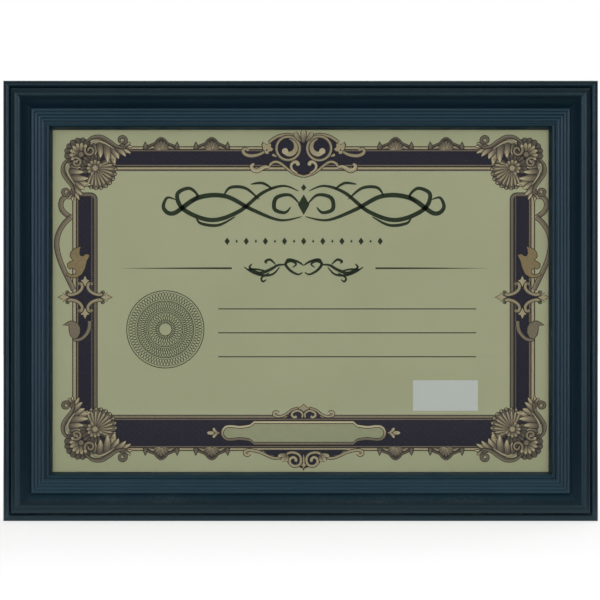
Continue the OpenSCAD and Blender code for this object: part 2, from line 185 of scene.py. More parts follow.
# %% Finishes, effects and colours
class Finish(Recipe):
    def __init__(self, name):
        self.material = bpy.data.materials.new(name)
        self.material.use_nodes = True
        super().__init__(self.material.node_tree)
        self.shader = self.tree.nodes["Principled BSDF"]
        self.spot = self.node("ShaderNodeTexCoord").outputs["Object"]

    def set(self, title, value):
        self.feed(self.shader.inputs[title], value)

    def mask(self, effect, **values):
        return self.place(effect, Vector=self.spot, **values)["Mask"]

    def worn(self, radius, amount):
        return self.place(rubbed_edges, Vector=self.spot, Radius=radius, Amount=amount)

    def bump(self, height, depth, under=None):
        made = self.node("ShaderNodeBump")
        made.inputs["Distance"].default_value = depth
        self.feed(made.inputs["Height"], height)
        if under is not None:
            self.feed(made.inputs["Normal"], under)
        self.set("Normal", made.outputs["Normal"])


class Effect(Recipe):
    VECTORS = ("Vector", "Pitch", "Normal")

    def __init__(self, name, **dials):
        super().__init__(bpy.data.node_groups.new(name, "ShaderNodeTree"))
        for title, start in {"Vector": (0, 0, 0), **dials}.items():
            self.socket(title, "INPUT").default_value = start
        self.given = self.node("NodeGroupInput").outputs

    def socket(self, title, way):
        kind = "NodeSocketVector" if title in self.VECTORS else "NodeSocketFloat"
        return self.tree.interface.new_socket(title, in_out=way, socket_type=kind)

    def give(self, **results):
        for title in results:
            self.socket(title, "OUTPUT")
        end = self.node("NodeGroupOutput")
        for title, value in results.items():
            self.feed(end.inputs[title], value)
        print("effect", self.tree.name)


def screen(*levels):
    def linear(value):
        share = value / 255
        return share / 12.92 if share <= 0.04045 else ((share + 0.055) / 1.055) ** 2.4

    return (*map(linear, levels), 1.0)


def grey(level):
    return (level, level, level, 1.0)


WHITE = grey(1.0)
print("helpers ready")


# %% [markdown]
# A dark, glossy moulding shows its lamps rather than its own colour, so most of the light is
# an even dome that mirrors don't see. Two soft banks beside the camera draw the highlight on
# the upright beads, and the one above it does the same for the level ones. A bank overhead
# and one behind serve the views from other sides. A fill at the camera, which mirrors don't
# see either, keeps the shadow of the lip short.
# A photographer hangs black cloth on the camera's side and lays it on the table in front,
# because the glass would mirror that side straight back over the print. Here the same cloth
# exists for mirror rays only.
# The floor is plain and pale. It and the world turn white only for rays that come from the
# camera, from a mirror-like surface or through glass, so the white adds no light. A ray that
# is thrown back by the far face of the pane leaves it as a transmitted one, so the count of
# glossy bounces sorts it in with the mirror rays.

# %% Floor and backdrop
FLOOR_HALF = 6.0
FLOOR_TONE, CLOTH_TONE = 0.62, 0.04
FLOOR_LIFT = 0.60
FAR_FROM, FAR_TO = 0.45, 1.3
FLOOR_GAP = 0.02 * MM
CLOTH_FROM, CLOTH_TO = -60 * MM, -10 * MM
HALF_BOUNCE = 0.5


def straight_ray(made):
    path = made.node("ShaderNodeLightPath").outputs
    turned_back = made.calc("GREATER_THAN", path["Glossy Depth"], HALF_BOUNCE)
    bounces = made.plus(path["Glossy Depth"], path["Diffuse Depth"])
    unbounced = made.calc("LESS_THAN", bounces, HALF_BOUNCE)
    direct = made.times(path["Is Transmission Ray"], unbounced)
    inside = made.times(path["Is Transmission Ray"], turned_back)
    return made.most(path["Is Camera Ray"], direct), made.most(path["Is Glossy Ray"], inside)


def pale_floor():
    made = Finish("pale_floor")
    seen, mirrored = straight_ray(made)
    behind = made.fade(made.split(made.spot)["Y"], CLOTH_FROM, CLOTH_TO)
    cloth = made.times(mirrored, made.minus(1.0, behind))
    made.set("Base Color", made.blend(cloth, grey(FLOOR_TONE), grey(CLOTH_TONE)))
    made.set("Roughness", 0.9)
    made.set("Specular IOR Level", 0.0)
    made.set("Emission Color", WHITE)
    lift = made.most(seen, made.times(mirrored, behind))
    away = made.run("ShaderNodeVectorMath", made.spot, operation="LENGTH")["Value"]
    strength = made.fade(away, FAR_FROM, FAR_TO, FLOOR_LIFT, 1.0)
    made.set("Emission Strength", made.times(lift, strength))
    return made.material


floor_mesh = bpy.data.meshes.new("floor")
floor_rim = [(x * FLOOR_HALF, y * FLOOR_HALF) for x, y in ((-1, -1), (1, -1), (1, 1), (-1, 1))]
floor_mesh.from_pydata([(x, y, -FLOOR_GAP) for x, y in floor_rim], [], [(0, 1, 2, 3)])
floor_mesh.materials.append(pale_floor())
floor = bpy.data.objects.new("floor", floor_mesh)
bpy.context.collection.objects.link(floor)
floor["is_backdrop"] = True
print("floor", 2 * FLOOR_HALF, "m wide")

# %% World
DOME_LIGHT = 0.38
DIM_SIDE = 0.03
DIM_FROM, DIM_TO = 0.10, 0.55

world = bpy.data.worlds.new("studio")
bpy.context.scene.world = world
world.use_nodes = True
sky = Recipe(world.node_tree)
direction = sky.node("ShaderNodeTexCoord").outputs["Generated"]
seen, mirrored = straight_ray(sky)
beyond = sky.fade(sky.split(direction)["Y"], DIM_FROM, DIM_TO, DIM_SIDE, 1.0)
unseen = sky.fade(mirrored, 0.0, 1.0, DOME_LIGHT, beyond)
background = world.node_tree.nodes["Background"]
background.inputs["Color"].default_value = WHITE
sky.feed(background.inputs["Strength"], sky.fade(seen, 0.0, 1.0, unseen, 1.0))
print("dome light", DOME_LIGHT)

# %% Lamps
FILL_LAMP = "fill_at_camera"
LAMPS = {
    "front_bank": ((0.0, -1.50, 1.00), (0.9, 1.3), 2.0),
    "left_bank": ((-0.66, -1.50, 0.16), (0.6, 0.9), 5.5),
    "right_bank": ((0.66, -1.50, 0.16), (0.6, 0.9), 5.5),
    "top_bank": ((0.0, -0.30, 1.35), (1.4, 0.7), 1.1),
    "rear_bank": ((0.3, 1.4, 1.1), (1.2, 1.2), 9.0),
    FILL_LAMP: ((0.0, -2.0, 0.20), (0.5, 0.5), 12.0),
}
lamp_aim = Vector((0, 0, AIM_Z))
for name, (stand, (wide, high), power) in LAMPS.items():
    lamp_data = bpy.data.lights.new(name, "AREA")
    lamp_data.shape = "RECTANGLE"
    lamp_data.size, lamp_data.size_y = wide, high
    lamp_data.energy = power
    lamp = bpy.data.objects.new(name, lamp_data)
    bpy.context.collection.objects.link(lamp)
    lamp.location = stand
    lamp.rotation_euler = (lamp_aim - lamp.location).to_track_quat("-Z", "Y").to_euler()
    lamp.visible_glossy = name != FILL_LAMP
    lamp.visible_transmission = name != FILL_LAMP
bpy.context.scene.view_settings.view_transform = "Standard"
print("lamps", ", ".join(LAMPS))


# %% [markdown]
# Five effects come back in most finishes of this frame, so each is made once as a node group
# with named inputs. Mottle is the slow change of tone that any large surface has. Fibres are
# noise pulled long in one direction: wood grain, paper fibre, brushed metal. Rubbed edges
# compares the true normal with a rounded one, which finds the arrises that hands and cloths
# reach. Scratches are very long thin fibres with most of them cut away. Dust lies on what
# faces up.

# %% Effects: mottle and fibres
MOTTLE_DETAIL, MOTTLE_GAIN = 4.0, 2.0
FIBRE_DETAIL, FIBRE_BEND, FIBRE_GAIN = 3.0, 0.3, 3.0


def with_contrast(made, noise, gain):
    swing = made.times(made.minus(noise, 0.5), made.times(made.given["Contrast"], gain))
    made.give(Mask=made.plus(swing, 0.5, clamp=True))


mottle = Effect("mottle", Size=10 * MM, Contrast=1.0)
scale = mottle.calc("DIVIDE", 1.0, mottle.given["Size"])
with_contrast(mottle, mottle.noise(mottle.given["Vector"], scale, MOTTLE_DETAIL), MOTTLE_GAIN)

fibres = Effect("fibres", Pitch=(MM, MM, MM), Contrast=1.0)
pulled = fibres.run("ShaderNodeVectorMath", fibres.given["Vector"], fibres.given["Pitch"],
                    operation="DIVIDE")[0]
with_contrast(fibres, fibres.noise(pulled, 1.0, FIBRE_DETAIL, FIBRE_BEND), FIBRE_GAIN)

# %% Effect: rubbed edges
TURN_FROM, TURN_TO = 0.02, 0.22
PATCH_SIZE, PATCH_CONTRAST = 6 * MM, 1.6

rubbed_edges = made = Effect("rubbed_edges", Radius=0.3 * MM, Amount=1.0)
rounding = made.node("ShaderNodeBevel", samples=6)
made.feed(rounding.inputs["Radius"], made.given["Radius"])
rounded = rounding.outputs["Normal"]
agree = made.run("ShaderNodeVectorMath", rounded, made.normal(), operation="DOT_PRODUCT")["Value"]
turn = made.fade(made.minus(1.0, agree), TURN_FROM, TURN_TO)
patches = made.place(mottle, Vector=made.given["Vector"], Size=PATCH_SIZE, Contrast=PATCH_CONTRAST)
rubbed = made.times(made.times(turn, patches["Mask"]), made.given["Amount"], clamp=True)
made.give(Mask=rubbed, Normal=rounded)

# %% Effect: scratches
SCRATCH_PULL = (1.0, 0.5, 24.0)
SCRATCH_SLANTS = (23, 71, 128)
RAREST, SHARE_GAIN, LINE_SOFT = 0.78, 0.5, 0.05

scratches = made = Effect("scratches", Size=4 * MM, Share=0.1)
scale = made.calc("DIVIDE", 1.0, made.given["Size"])
edge = made.minus(RAREST, made.times(made.given["Share"], SHARE_GAIN))
found = 0.0
for slant in SCRATCH_SLANTS:
    turned = made.turned(made.given["Vector"], slant)
    pulled = made.run("ShaderNodeVectorMath", turned, SCRATCH_PULL, operation="MULTIPLY")[0]
    line = made.fade(made.noise(pulled, scale, 1.0), edge, made.plus(edge, LINE_SOFT))
    found = made.most(found, line)
made.give(Mask=found)

# %% Effect: dust
UPWARD_FROM, UPWARD_TO = 0.35, 0.95

dust = made = Effect("dust", Amount=0.3)
upward = made.fade(made.split(made.normal())["Z"], UPWARD_FROM, UPWARD_TO)
specks = made.place(mottle, Vector=made.given["Vector"], Size=1.5 * MM, Contrast=1.5)["Mask"]
drifts = made.place(mottle, Vector=made.given["Vector"], Size=30 * MM, Contrast=1.2)["Mask"]
lying = made.times(upward, made.times(specks, drifts))
made.give(Mask=made.times(lying, made.given["Amount"], clamp=True))


# %% [markdown]
# The moulding is wood under a blue-black satin lacquer. The lacquer is almost a mirror for
# broad lamps, so its depth comes from roughness that changes with the grain below, a fine
# ripple from spraying, and arrises rubbed a little paler. The reeded band is a shade bluer
# and paler than the beads on both sides of it. The back was never meant to be seen: it is
# bare pine with a fringe of overspray along its outer edge. Bare wood shows wherever the
# surface faces the wall, so one material holds both. Distances inward are measured from the
# outer edge of the rail, so one function serves the upright and the level rails. They differ
# in the axis that counts, in the run of the grain and in the tint of the sheen. On the level
# rails the sheen of the beads is turned well down: a painted shade that dims their highlights.

# %% Moulding lacquer
LACQUER_DEEP, LACQUER_PALE = screen(7, 24, 34), screen(12, 30, 41)
LACQUER_RUBBED = screen(58, 74, 84)
REED_DEEP, REED_PALE = screen(27, 42, 52), screen(33, 48, 58)
REED_FROM, REED_TO, REED_SOFT = 15.8 * MM, 25.2 * MM, 0.6 * MM
BEADS_TO, BEADS_SOFT = 11.0 * MM, 1.5 * MM
# Sheen tints, beads first. The dim bead tint of the level rails is painted shade on their highlights.
SHADED_SHEEN_ACROSS = ((0.40, 0.60, 0.60, 1), (0.38, 0.80, 1.0, 1))
SHEEN_UP = ((0.56, 0.78, 0.93, 1), (0.52, 0.78, 1.0, 1))
SATIN, SATIN_RIPPLE, DUSTY = 0.36, 0.08, 0.5
PINE_PALE, PINE_DARK, PINE_ROUGH = screen(196, 162, 116), screen(158, 118, 74), 0.75
DUST_TONE = screen(150, 150, 145)
GRAIN_LONG, GRAIN_FINE = 90 * MM, 0.9 * MM
GRAIN_SHARE, RIPPLE_SHARE = 0.25, 0.35
OVERSPRAY, FRINGE = 1.6 * MM, 2.5 * MM
BACK_FROM, BACK_TO = 0.6, 0.8


def moulding_lacquer(name, pitch, outer_axis, outer_middle, outer_reach, sheen):
    made = Finish(name)
    grain = made.mask(fibres, Pitch=pitch, Contrast=1.0)
    clouds = made.mask(mottle, Size=40 * MM, Contrast=1.0)
    ripple = made.mask(mottle, Size=1.1 * MM, Contrast=0.8)
    lying = made.mask(dust, Amount=0.16)
    middle = made.minus(made.split(made.spot)[outer_axis], outer_middle)
    inward = made.minus(outer_reach, made.calc("ABSOLUTE", middle))

    reeded = made.minus(made.fade(inward, REED_FROM, REED_FROM + REED_SOFT),
                        made.fade(inward, REED_TO, REED_TO + REED_SOFT))
    lacquer = made.blend(clouds, LACQUER_DEEP, LACQUER_PALE)
    lacquer = made.blend(reeded, lacquer, made.blend(clouds, REED_DEEP, REED_PALE))
    lacquer = made.blend(made.times(grain, GRAIN_SHARE), lacquer, LACQUER_DEEP)
    lacquer = made.blend(made.worn(0.35 * MM, 0.5)["Mask"], lacquer, LACQUER_RUBBED)
    lacquer = made.blend(lying, lacquer, DUST_TONE)

    fringe = made.times(made.minus(ripple, 0.5), FRINGE)
    unsprayed = made.fade(made.plus(inward, fringe), OVERSPRAY, 2 * OVERSPRAY)
    facing_wall = made.fade(made.split(made.normal())["Y"], BACK_FROM, BACK_TO)
    bare = made.times(facing_wall, unsprayed)
    made.set("Base Color", made.blend(bare, lacquer, made.blend(grain, PINE_PALE, PINE_DARK)))

    satin = made.plus(SATIN, made.times(ripple, SATIN_RIPPLE))
    satin = made.plus(satin, made.times(lying, DUSTY))
    made.set("Roughness", made.fade(bare, 0.0, 1.0, satin, PINE_ROUGH))
    made.set("Specular IOR Level", 0.75)
    past_beads = made.fade(inward, BEADS_TO, BEADS_TO + BEADS_SOFT)
    # The tint of the sheen changes at the beads. On the level rails it is painted shade that dims their
    # highlights.
    made.set("Specular Tint", made.blend(past_beads, *sheen))
    deep_grain = made.times(grain, made.plus(GRAIN_SHARE, bare))
    made.bump(made.plus(made.times(ripple, RIPPLE_SHARE), deep_grain), 0.03 * MM)
    return made.material


half_w = cad_high.x
half_h = cad_high.z / 2
along_x = (GRAIN_LONG, GRAIN_FINE, GRAIN_FINE)
along_z = (GRAIN_FINE, GRAIN_FINE, GRAIN_LONG)
lacquer_across = moulding_lacquer("satin_lacquer_across", along_x, "Z", half_h, half_h,
                                  SHADED_SHEEN_ACROSS)
lacquer_up = moulding_lacquer("satin_lacquer_up", along_z, "X", 0.0, half_w, SHEEN_UP)
print("lacquer on rails", round(half_w * 2 / MM), "by", round(half_h * 2 / MM), "mm")


# %% [markdown]
# Metal fittings are stamped or bent from plated sheet. They all want the same three things:
# a brushed or tumbled tone, scratches that are shinier than what lies round them, and edges
# where the plating is polished through. One function makes them all from a few values.

# %% Plated metal
TARNISH_LEAST, TARNISH_BRUSHED = 0.45, 0.4
TARNISH_DULLS, WEAR_SHINES, WEAR_SHOWS = 0.28, 0.12, 0.7


def plated_metal(name, tone, dull, rough, pitch, share=0.12, edge=0.25):
    made = Finish(name)
    brushed = made.mask(fibres, Pitch=[length * MM for length in pitch], Contrast=1.0)
    clouds = made.mask(mottle, Size=5 * MM, Contrast=1.4)
    marks = made.mask(scratches, Size=5 * MM, Share=share)
    edges = made.worn(edge * MM, 0.9)
    tarnish = made.times(clouds, made.plus(TARNISH_LEAST, made.times(brushed, TARNISH_BRUSHED)))
    bright = made.most(marks, edges["Mask"])
    colour = made.blend(tarnish, screen(*tone), screen(*dull))
    colour = made.blend(made.times(bright, WEAR_SHOWS), colour, screen(*tone))
    made.set("Base Color", colour)
    made.set("Metallic", 1.0)
    dulled = made.minus(made.times(tarnish, TARNISH_DULLS), made.times(bright, WEAR_SHINES))
    made.set("Roughness", made.plus(rough, dulled, clamp=True))
    made.bump(made.minus(made.times(brushed, 0.4), marks), 0.01 * MM, edges["Normal"])
    return made.material


brass = plated_metal("button_brass", (222, 188, 118), (150, 112, 58), 0.24, (6, 0.12, 0.12))
zinc = plated_metal("screw_zinc", (205, 205, 200), (128, 130, 132), 0.28, (0.4, 0.4, 0.4), 0.08, 0.15)
strap_nickel = plated_metal("strap_nickel", (214, 210, 202), (138, 134, 128), 0.25, (0.15, 0.15, 5))
ring_nickel = plated_metal("ring_nickel", (218, 214, 206), (142, 138, 132), 0.20, (0.5, 0.5, 0.5),
                           0.06, 0.1)
hinge_steel = plated_metal("hinge_steel", (198, 200, 204), (112, 114, 118), 0.30, (7, 0.14, 0.14))
nail_steel = plated_metal("nail_steel", (150, 152, 156), (84, 84, 86), 0.36, (0.3, 0.3, 4))
print("metals ready")


# %% [markdown]
# The back is hardboard: steamed wood fibre pressed against a wire screen, which leaves a
# fine woven print on one face. The screen is a product of two sine waves, and the fibre is
# short strands of noise at three angles. The leg is the same board faced with dark paper,
# and the filler is plain grey card. Cut edges have a tone of their own.

# %% Boards and card
SCREEN_PITCH = 1.6 * MM
STRAND_LONG, STRAND_WIDE = 9, 2
BOARD_SLANTS = (8, 67, 131)
FACE_FROM, FACE_TO = 0.3, 0.7


def strands(made, size, slants):
    pitch = (size * STRAND_LONG, size * STRAND_WIDE, size)
    total = 0.0
    for slant in slants:
        turned = made.turned(made.spot, slant)
        lay = made.place(fibres, Vector=turned, Pitch=pitch, Contrast=1.2)["Mask"]
        total = made.plus(total, made.calc("DIVIDE", lay, len(slants)))
    return total


def screen_print(made):
    axes = made.split(made.spot)
    waves = [made.calc("SINE", made.times(axes[axis], 2 * math.pi / SCREEN_PITCH)) for axis in "XZ"]
    return made.times(*waves)


def pressed_board(name, pale, dark, rough, woven, edge_tone):
    made = Finish(name)
    lay = strands(made, 0.45 * MM, BOARD_SLANTS)
    clouds = made.mask(mottle, Size=22 * MM, Contrast=1.2)
    edges = made.worn(0.4 * MM, 0.7)
    colour = made.blend(lay, screen(*pale), screen(*dark))
    colour = made.blend(made.times(clouds, 0.35), colour, screen(*dark))
    flat = made.calc("ABSOLUTE", made.split(made.normal())["Y"])
    cut = made.most(made.minus(1.0, made.fade(flat, FACE_FROM, FACE_TO)), edges["Mask"])
    made.set("Base Color", made.blend(cut, colour, screen(*edge_tone)))
    made.set("Roughness", made.plus(rough, made.times(lay, 0.15)))
    height = made.plus(made.times(lay, 0.8), made.times(screen_print(made), woven))
    made.bump(height, 0.06 * MM, edges["Normal"])
    return made.material


hardboard = pressed_board("hardboard", (150, 112, 74), (108, 76, 46), 0.62, 0.55, (128, 92, 58))
leg_facing = pressed_board("leg_facing", (50, 50, 52), (34, 34, 36), 0.60, 0.12, (122, 92, 62))
grey_card = pressed_board("grey_card", (168, 160, 146), (138, 130, 116), 0.80, 0.0, (150, 140, 122))
print("boards ready")


# %% [markdown]
# Picture glass is 2 mm float glass with its edges just taken off. The pane is a closed slab
# with a small flat bevel round both faces, and it stops a quarter of a millimetre short of the
# sheet, because two surfaces in the same place would fight for each pixel. Light must reach
# the print, so a shadow ray or a ray scattered by the paper passes straight through, and
# every other ray sees real glass.

# %% Glass finish
GLASS_TINT, CLEAR_TINT = (0.975, 0.99, 0.98, 1), (0.95, 0.97, 0.96, 1)
WIPED_ROUGH = 0.018


def picture_glass():
    made = Finish("picture_glass")
    made.set("Base Color", GLASS_TINT)
    made.set("Metallic", 0.0)
    made.set("Transmission Weight", 1.0)
    made.set("IOR", 1.45)
    wiped = made.mask(fibres, Pitch=(30 * MM, 8 * MM, 5 * MM), Contrast=0.8)
    made.set("Roughness", made.times(wiped, WIPED_ROUGH))
    clear = made.node("ShaderNodeBsdfTransparent")
    clear.inputs["Color"].default_value = CLEAR_TINT
    path = made.node("ShaderNodeLightPath").outputs
    lighting = made.most(path["Is Shadow Ray"], path["Is Diffuse Ray"])
    either = made.run("ShaderNodeMixShader", lighting, made.shader.outputs[0], clear.outputs[0])
    made.feed(made.tree.nodes["Material Output"].inputs["Surface"], either[0])
    return made.material


glass_finish = picture_glass()
print("glass ready")

# %% Glass pane
PRINT_ROOM = 0.24 * MM
GLASS_BEVEL = 0.3 * MM


def add_piece(name, mesh, finish, body="root"):
    piece = bpy.data.objects.new(name, mesh)
    bpy.context.collection.objects.link(piece)
    mesh.materials.append(finish)
    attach(piece, body)
    return piece


def slab_with_bevels(name, low, high, bevel):
    rings = [(low.y, bevel), (low.y + bevel, 0), (high.y - bevel, 0), (high.y, bevel)]
    corners = []
    for y, inset in rings:
        x0, x1 = low.x + inset, high.x - inset
        z0, z1 = low.z + inset, high.z - inset
        corners += [(x0, y, z0), (x1, y, z0), (x1, y, z1), (x0, y, z1)]
    last = len(corners)
    faces = [(0, 1, 2, 3), tuple(range(last - 1, last - 5, -1))]
    for ring in range(len(rings) - 1):
        for side in range(4):
            a = 4 * ring + side
            b = 4 * ring + (side + 1) % 4
            faces.append((a, a + 4, b + 4, b))
    mesh = bpy.data.meshes.new(name)
    mesh.from_pydata(corners, [], faces)
    return mesh


glass_low, glass_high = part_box("glass_pane")
glass_high.y -= PRINT_ROOM
pane_mesh = slab_with_bevels("glass", glass_low, glass_high, GLASS_BEVEL)
pane = add_piece("glass", pane_mesh, glass_finish)
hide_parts("glass_pane")
print("glass", [round((b - a) / MM, 2) for a, b in zip(glass_low, glass_high)])


# %% [markdown]
# The sheet is a toned certificate paper. Its colour drifts a little, short fibres show in it
# under a loupe, and it has no gloss.

# %% Paper
PAPER_TONE, PAPER_SHADE = screen(173, 172, 141), screen(163, 163, 132)


def certificate_paper():
    made = Finish("certificate_paper")
    lay = strands(made, 0.16 * MM, (12, 78, 140))
    clouds = made.mask(mottle, Size=60 * MM, Contrast=1.0)
    shade = made.plus(made.times(clouds, 0.6), made.times(lay, 0.4))
    made.set("Base Color", made.blend(shade, PAPER_TONE, PAPER_SHADE))
    made.set("Roughness", 0.85)
    made.set("Specular IOR Level", 0.0)
    made.bump(lay, 0.01 * MM)
    return made.material


paper = certificate_paper()
print("paper ready")


# %% [markdown]
# Everything printed on the sheet is ink with next to no thickness, so it is made as flat
# shapes that lie over the paper, each layer nine thousandths of a millimetre above the last.
# An image texture would be the usual way, but shapes stay sharp at any size.
# A plate collects the shapes. Each corner of a shape has a place on the sheet, measured in
# millimetres from the middle of the print, a layer, and a tone from 0, the dark outline,
# to 1, the palest gold. The ink then turns the tone into colour.

# %% Print plates
PRINT_SHIFT = (1.8, 129.8)
LAYER_STEP = 0.009
FIRST_LAYER_GAP = 0.01
SMALLEST_FACE = 1e-6
sheet_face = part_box("certificate_sheet")[0].y


class Plate:
    def __init__(self):
        self.corners = []
        self.faces = []

    def grid(self, rows):
        start, across = len(self.corners), len(rows[0])
        for row in rows:
            self.corners.extend(row)
        for i in range(len(rows) - 1):
            for j in range(across - 1):
                a = start + i * across + j
                self.faces.append((a, a + 1, a + across + 1, a + across))

    def area(self, rim, layer, tone=0.0):
        start = len(self.corners)
        self.corners.extend((x, z, layer, tone) for x, z in rim)
        for face in tessellate_polygon([[Vector((x, z, 0)) for x, z in rim]]):
            self.faces.append(tuple(start + i for i in face))

    def box(self, x0, z0, x1, z1, layer, tone=0.0):
        self.grid([[(x0, z0, layer, tone), (x1, z0, layer, tone)],
                   [(x0, z1, layer, tone), (x1, z1, layer, tone)]])

    def stamp(self, other, move=(0.0, 0.0), flip_x=False, flip_z=False, swap=False, lift=0, squash=1.0):
        start = len(self.corners)
        for x, z, layer, tone in other.corners:
            x *= squash
            x, z = (-z, -x) if swap else (x, z)
            x, z = (-x if flip_x else x), (-z if flip_z else z)
            self.corners.append((x + move[0], z + move[1], layer + lift, tone))
        self.faces.extend(tuple(start + i for i in face) for face in other.faces)


def turned_to_reader(plate, face):
    points = [plate.corners[i] for i in face]
    twice = 0.0
    for (x0, z0, *_), (x1, z1, *_) in zip(points, points[1:] + points[:1]):
        twice += x0 * z1 - x1 * z0
    if abs(twice) < SMALLEST_FACE:
        return None
    return face if twice > 0 else face[::-1]


def print_piece(name, plate, ink):
    faces = [turned_to_reader(plate, face) for face in plate.faces]
    faces = [face for face in faces if face]
    used = sorted({i for face in faces for i in face})
    renumber = {old: new for new, old in enumerate(used)}
    points = []
    for i in used:
        x, z, layer, tone = plate.corners[i]
        depth = FIRST_LAYER_GAP + LAYER_STEP * layer
        points.append(((x + PRINT_SHIFT[0]) * MM, sheet_face - depth * MM, (z + PRINT_SHIFT[1]) * MM))
    mesh = bpy.data.meshes.new(name)
    mesh.from_pydata(points, [], [tuple(renumber[i] for i in face) for face in faces])
    tones = mesh.attributes.new("tone", "FLOAT", "POINT")
    tones.data.foreach_set("value", [plate.corners[i][3] for i in used])
    print(name, len(faces), "faces")
    return add_piece(name, mesh, ink)


print("print lies on the sheet's face at", round(sheet_face / MM, 2), "mm")


# %% [markdown]
# Engravers built such borders from a few strokes, and so do the next three cells. A ribbon
# follows a line with a width that swells and fades. A petal is a short bent ribbon, a disc
# is a dot, and a scallop is a fan of petals. Each is drawn twice: once a hair wider in the
# dark tone, and once above in gold, which leaves the outline that holds a gold shape
# together.

# %% Lines
def through(points, steps=8):
    line = []
    padded = [points[0], *points, points[-1]]
    for a, b, c, d in zip(padded, padded[1:], padded[2:], padded[3:]):
        for step in range(steps):
            t = step / steps
            line.append(tuple(
                0.5 * (2 * q + (r - p) * t + (2 * p - 5 * q + 4 * r - s) * t * t
                       + (3 * q - p - 3 * r + s) * t ** 3)
                for p, q, r, s in zip(a, b, c, d)))
    line.append(points[-1])
    return line


def polar(middle, reach, angle):
    return middle[0] + reach * math.cos(angle), middle[1] + reach * math.sin(angle)


def spiral(middle, start_r, end_r, start, sweep, steps=36):
    line = []
    for step in range(steps + 1):
        t = step / steps
        line.append(polar(middle, start_r + (end_r - start_r) * t, math.radians(start + sweep * t)))
    return line


def bowed(start, end, bow, steps=10):
    (x0, z0), (x1, z1) = start, end
    mid = ((x0 + x1) / 2 - (z1 - z0) * bow, (z0 + z1) / 2 + (x1 - x0) * bow)
    line = []
    for step in range(steps + 1):
        t = step / steps
        a, b, c = (1 - t) ** 2, 2 * t * (1 - t), t * t
        line.append((a * x0 + b * mid[0] + c * x1, a * z0 + b * mid[1] + c * z1))
    return line


def flipped(points, side):
    return [(side * x, z) for x, z in points]


def both_halves(half):
    return list(half) + [(-x, z) for x, z in half[::-1] if x]


print("a line through 3 points has", len(through([(0, 0), (1, 1), (2, 0)])), "points")

# %% Widths and tones along a stroke
def steady(value):
    return value if callable(value) else (lambda *_: value)


def swelling(least, rise, power=1.0):
    return lambda t: least + rise * math.sin(math.pi * t) ** power


def changing(start, gain):
    return lambda t: start + gain * t


def shaded(middle, along=0.0, across=0.0):
    return lambda t, side: middle + along * t + across * side


print("a swelling stroke is widest in its middle:", swelling(1.0, 0.5)(0.5), "mm")

# %% Strokes
HAIR, THIN_HAIR, FINE_HAIR = 0.42, 0.3, 0.2
LANES = 4
PETAL_ROOT, PETAL_BELLY, PETAL_START, PETAL_RUN = 0.30, 0.70, 0.06, 0.62
PETAL_CAP = 0.72
PETAL_LIT = 0.14
FAN_DROP, FAN_BOW = 0.10, 0.04


def strip(plate, line, width, layer, tone, lanes=LANES):
    width, tone = steady(width), steady(tone)
    rows = []
    last = len(line) - 1
    for i, (x, z) in enumerate(line):
        ax, az = line[max(i - 1, 0)]
        bx, bz = line[min(i + 1, last)]
        dx, dz = bx - ax, bz - az
        size = math.hypot(dx, dz) or 1.0
        nx, nz = -dz / size, dx / size
        t = i / last
        half = width(t) / 2
        row = []
        for lane in range(lanes + 1):
            side = 2 * lane / lanes - 1
            row.append((x + nx * half * side, z + nz * half * side, layer, tone(t, side)))
        rows.append(row)
    plate.grid(rows)


def ribbon(plate, line, width, layer, tone, hair=HAIR):
    width = steady(width)
    if hair:
        strip(plate, line, lambda t: width(t) + 2 * hair, layer, 0.0, lanes=1)
    strip(plate, line, width, layer + 1, tone)


def dot(plate, middle, radius, layer, tone, hair=HAIR, sides=20):
    for reach, level, shade in ((radius + hair, layer, 0.0), (radius, layer + 1, tone)):
        plate.area([polar(middle, reach, 2 * math.pi * i / sides) for i in range(sides)], level, shade)


def petal(plate, start, end, width, bow, layer, dark=0.25, pale=0.9, hair=HAIR):
    def cap(t):
        return math.sqrt(max(0.0, 1 - max(0.0, (t - PETAL_CAP) / (1 - PETAL_CAP)) ** 2))

    def swell(t):
        belly = math.sin(math.pi * min(t * PETAL_RUN + PETAL_START, 1.0))
        return width * (PETAL_ROOT + PETAL_BELLY * belly) * cap(t)

    def shade(t, side):
        return dark + (pale - dark) * t + PETAL_LIT * side * (1 - t)

    ribbon(plate, bowed(start, end, bow), swell, layer, shade, hair)


def fan(plate, middle, toward, spread, count, inner, outer, width, layer, dark, pale, hair=HAIR):
    for i in range(count):
        share = 2 * i / (count - 1) - 1
        angle = math.radians(toward + spread * share)
        reach = outer * (1 - FAN_DROP * share * share)
        start, end = polar(middle, inner, angle), polar(middle, reach, angle)
        petal(plate, start, end, width, FAN_BOW * share, layer + (i % 3) * 2, dark, pale, hair)


def outlined(plate, rim, layer, tone, keep=0.84):
    middle = [sum(values) / len(rim) for values in zip(*rim)]
    inner = [tuple(m + (v - m) * keep for m, v in zip(middle, point)) for point in rim]
    plate.area(rim, layer)
    plate.area(inner, layer + 1, tone)


print("strokes: strip, ribbon, dot, petal, fan, outlined")


# %% [markdown]
# The ink comes next. Gold on a certificate isn't metal: it is a brown and a yellow ink that
# imitate light on carving. A colour ramp turns the tone of each corner into that range, and
# a little mottle and paper fibre break it up. The band is a purple-navy ink with a fine
# lattice. The pen strokes, the field of the plaque and the two leaves are plain inks that
# differ in their two tones and in the size of their mottle.

# %% Inks
INK_STOPS = (
    (0.0, screen(42, 36, 37)),
    (0.3, screen(84, 76, 70)),
    (0.55, screen(119, 107, 93)),
    (0.8, screen(159, 145, 118)),
    (1.0, screen(195, 181, 150)),
)
NAVY, NAVY_LINE = screen(40, 37, 51), screen(52, 49, 64)
LATTICE_PITCH = 3.4 * MM
LATTICE_LINE, LATTICE_SHOWS = 0.09, 0.6
SPECK_SIZE, SPECK_SWING = 0.9 * MM, 0.16
FIBRE_SHOWS = 0.04


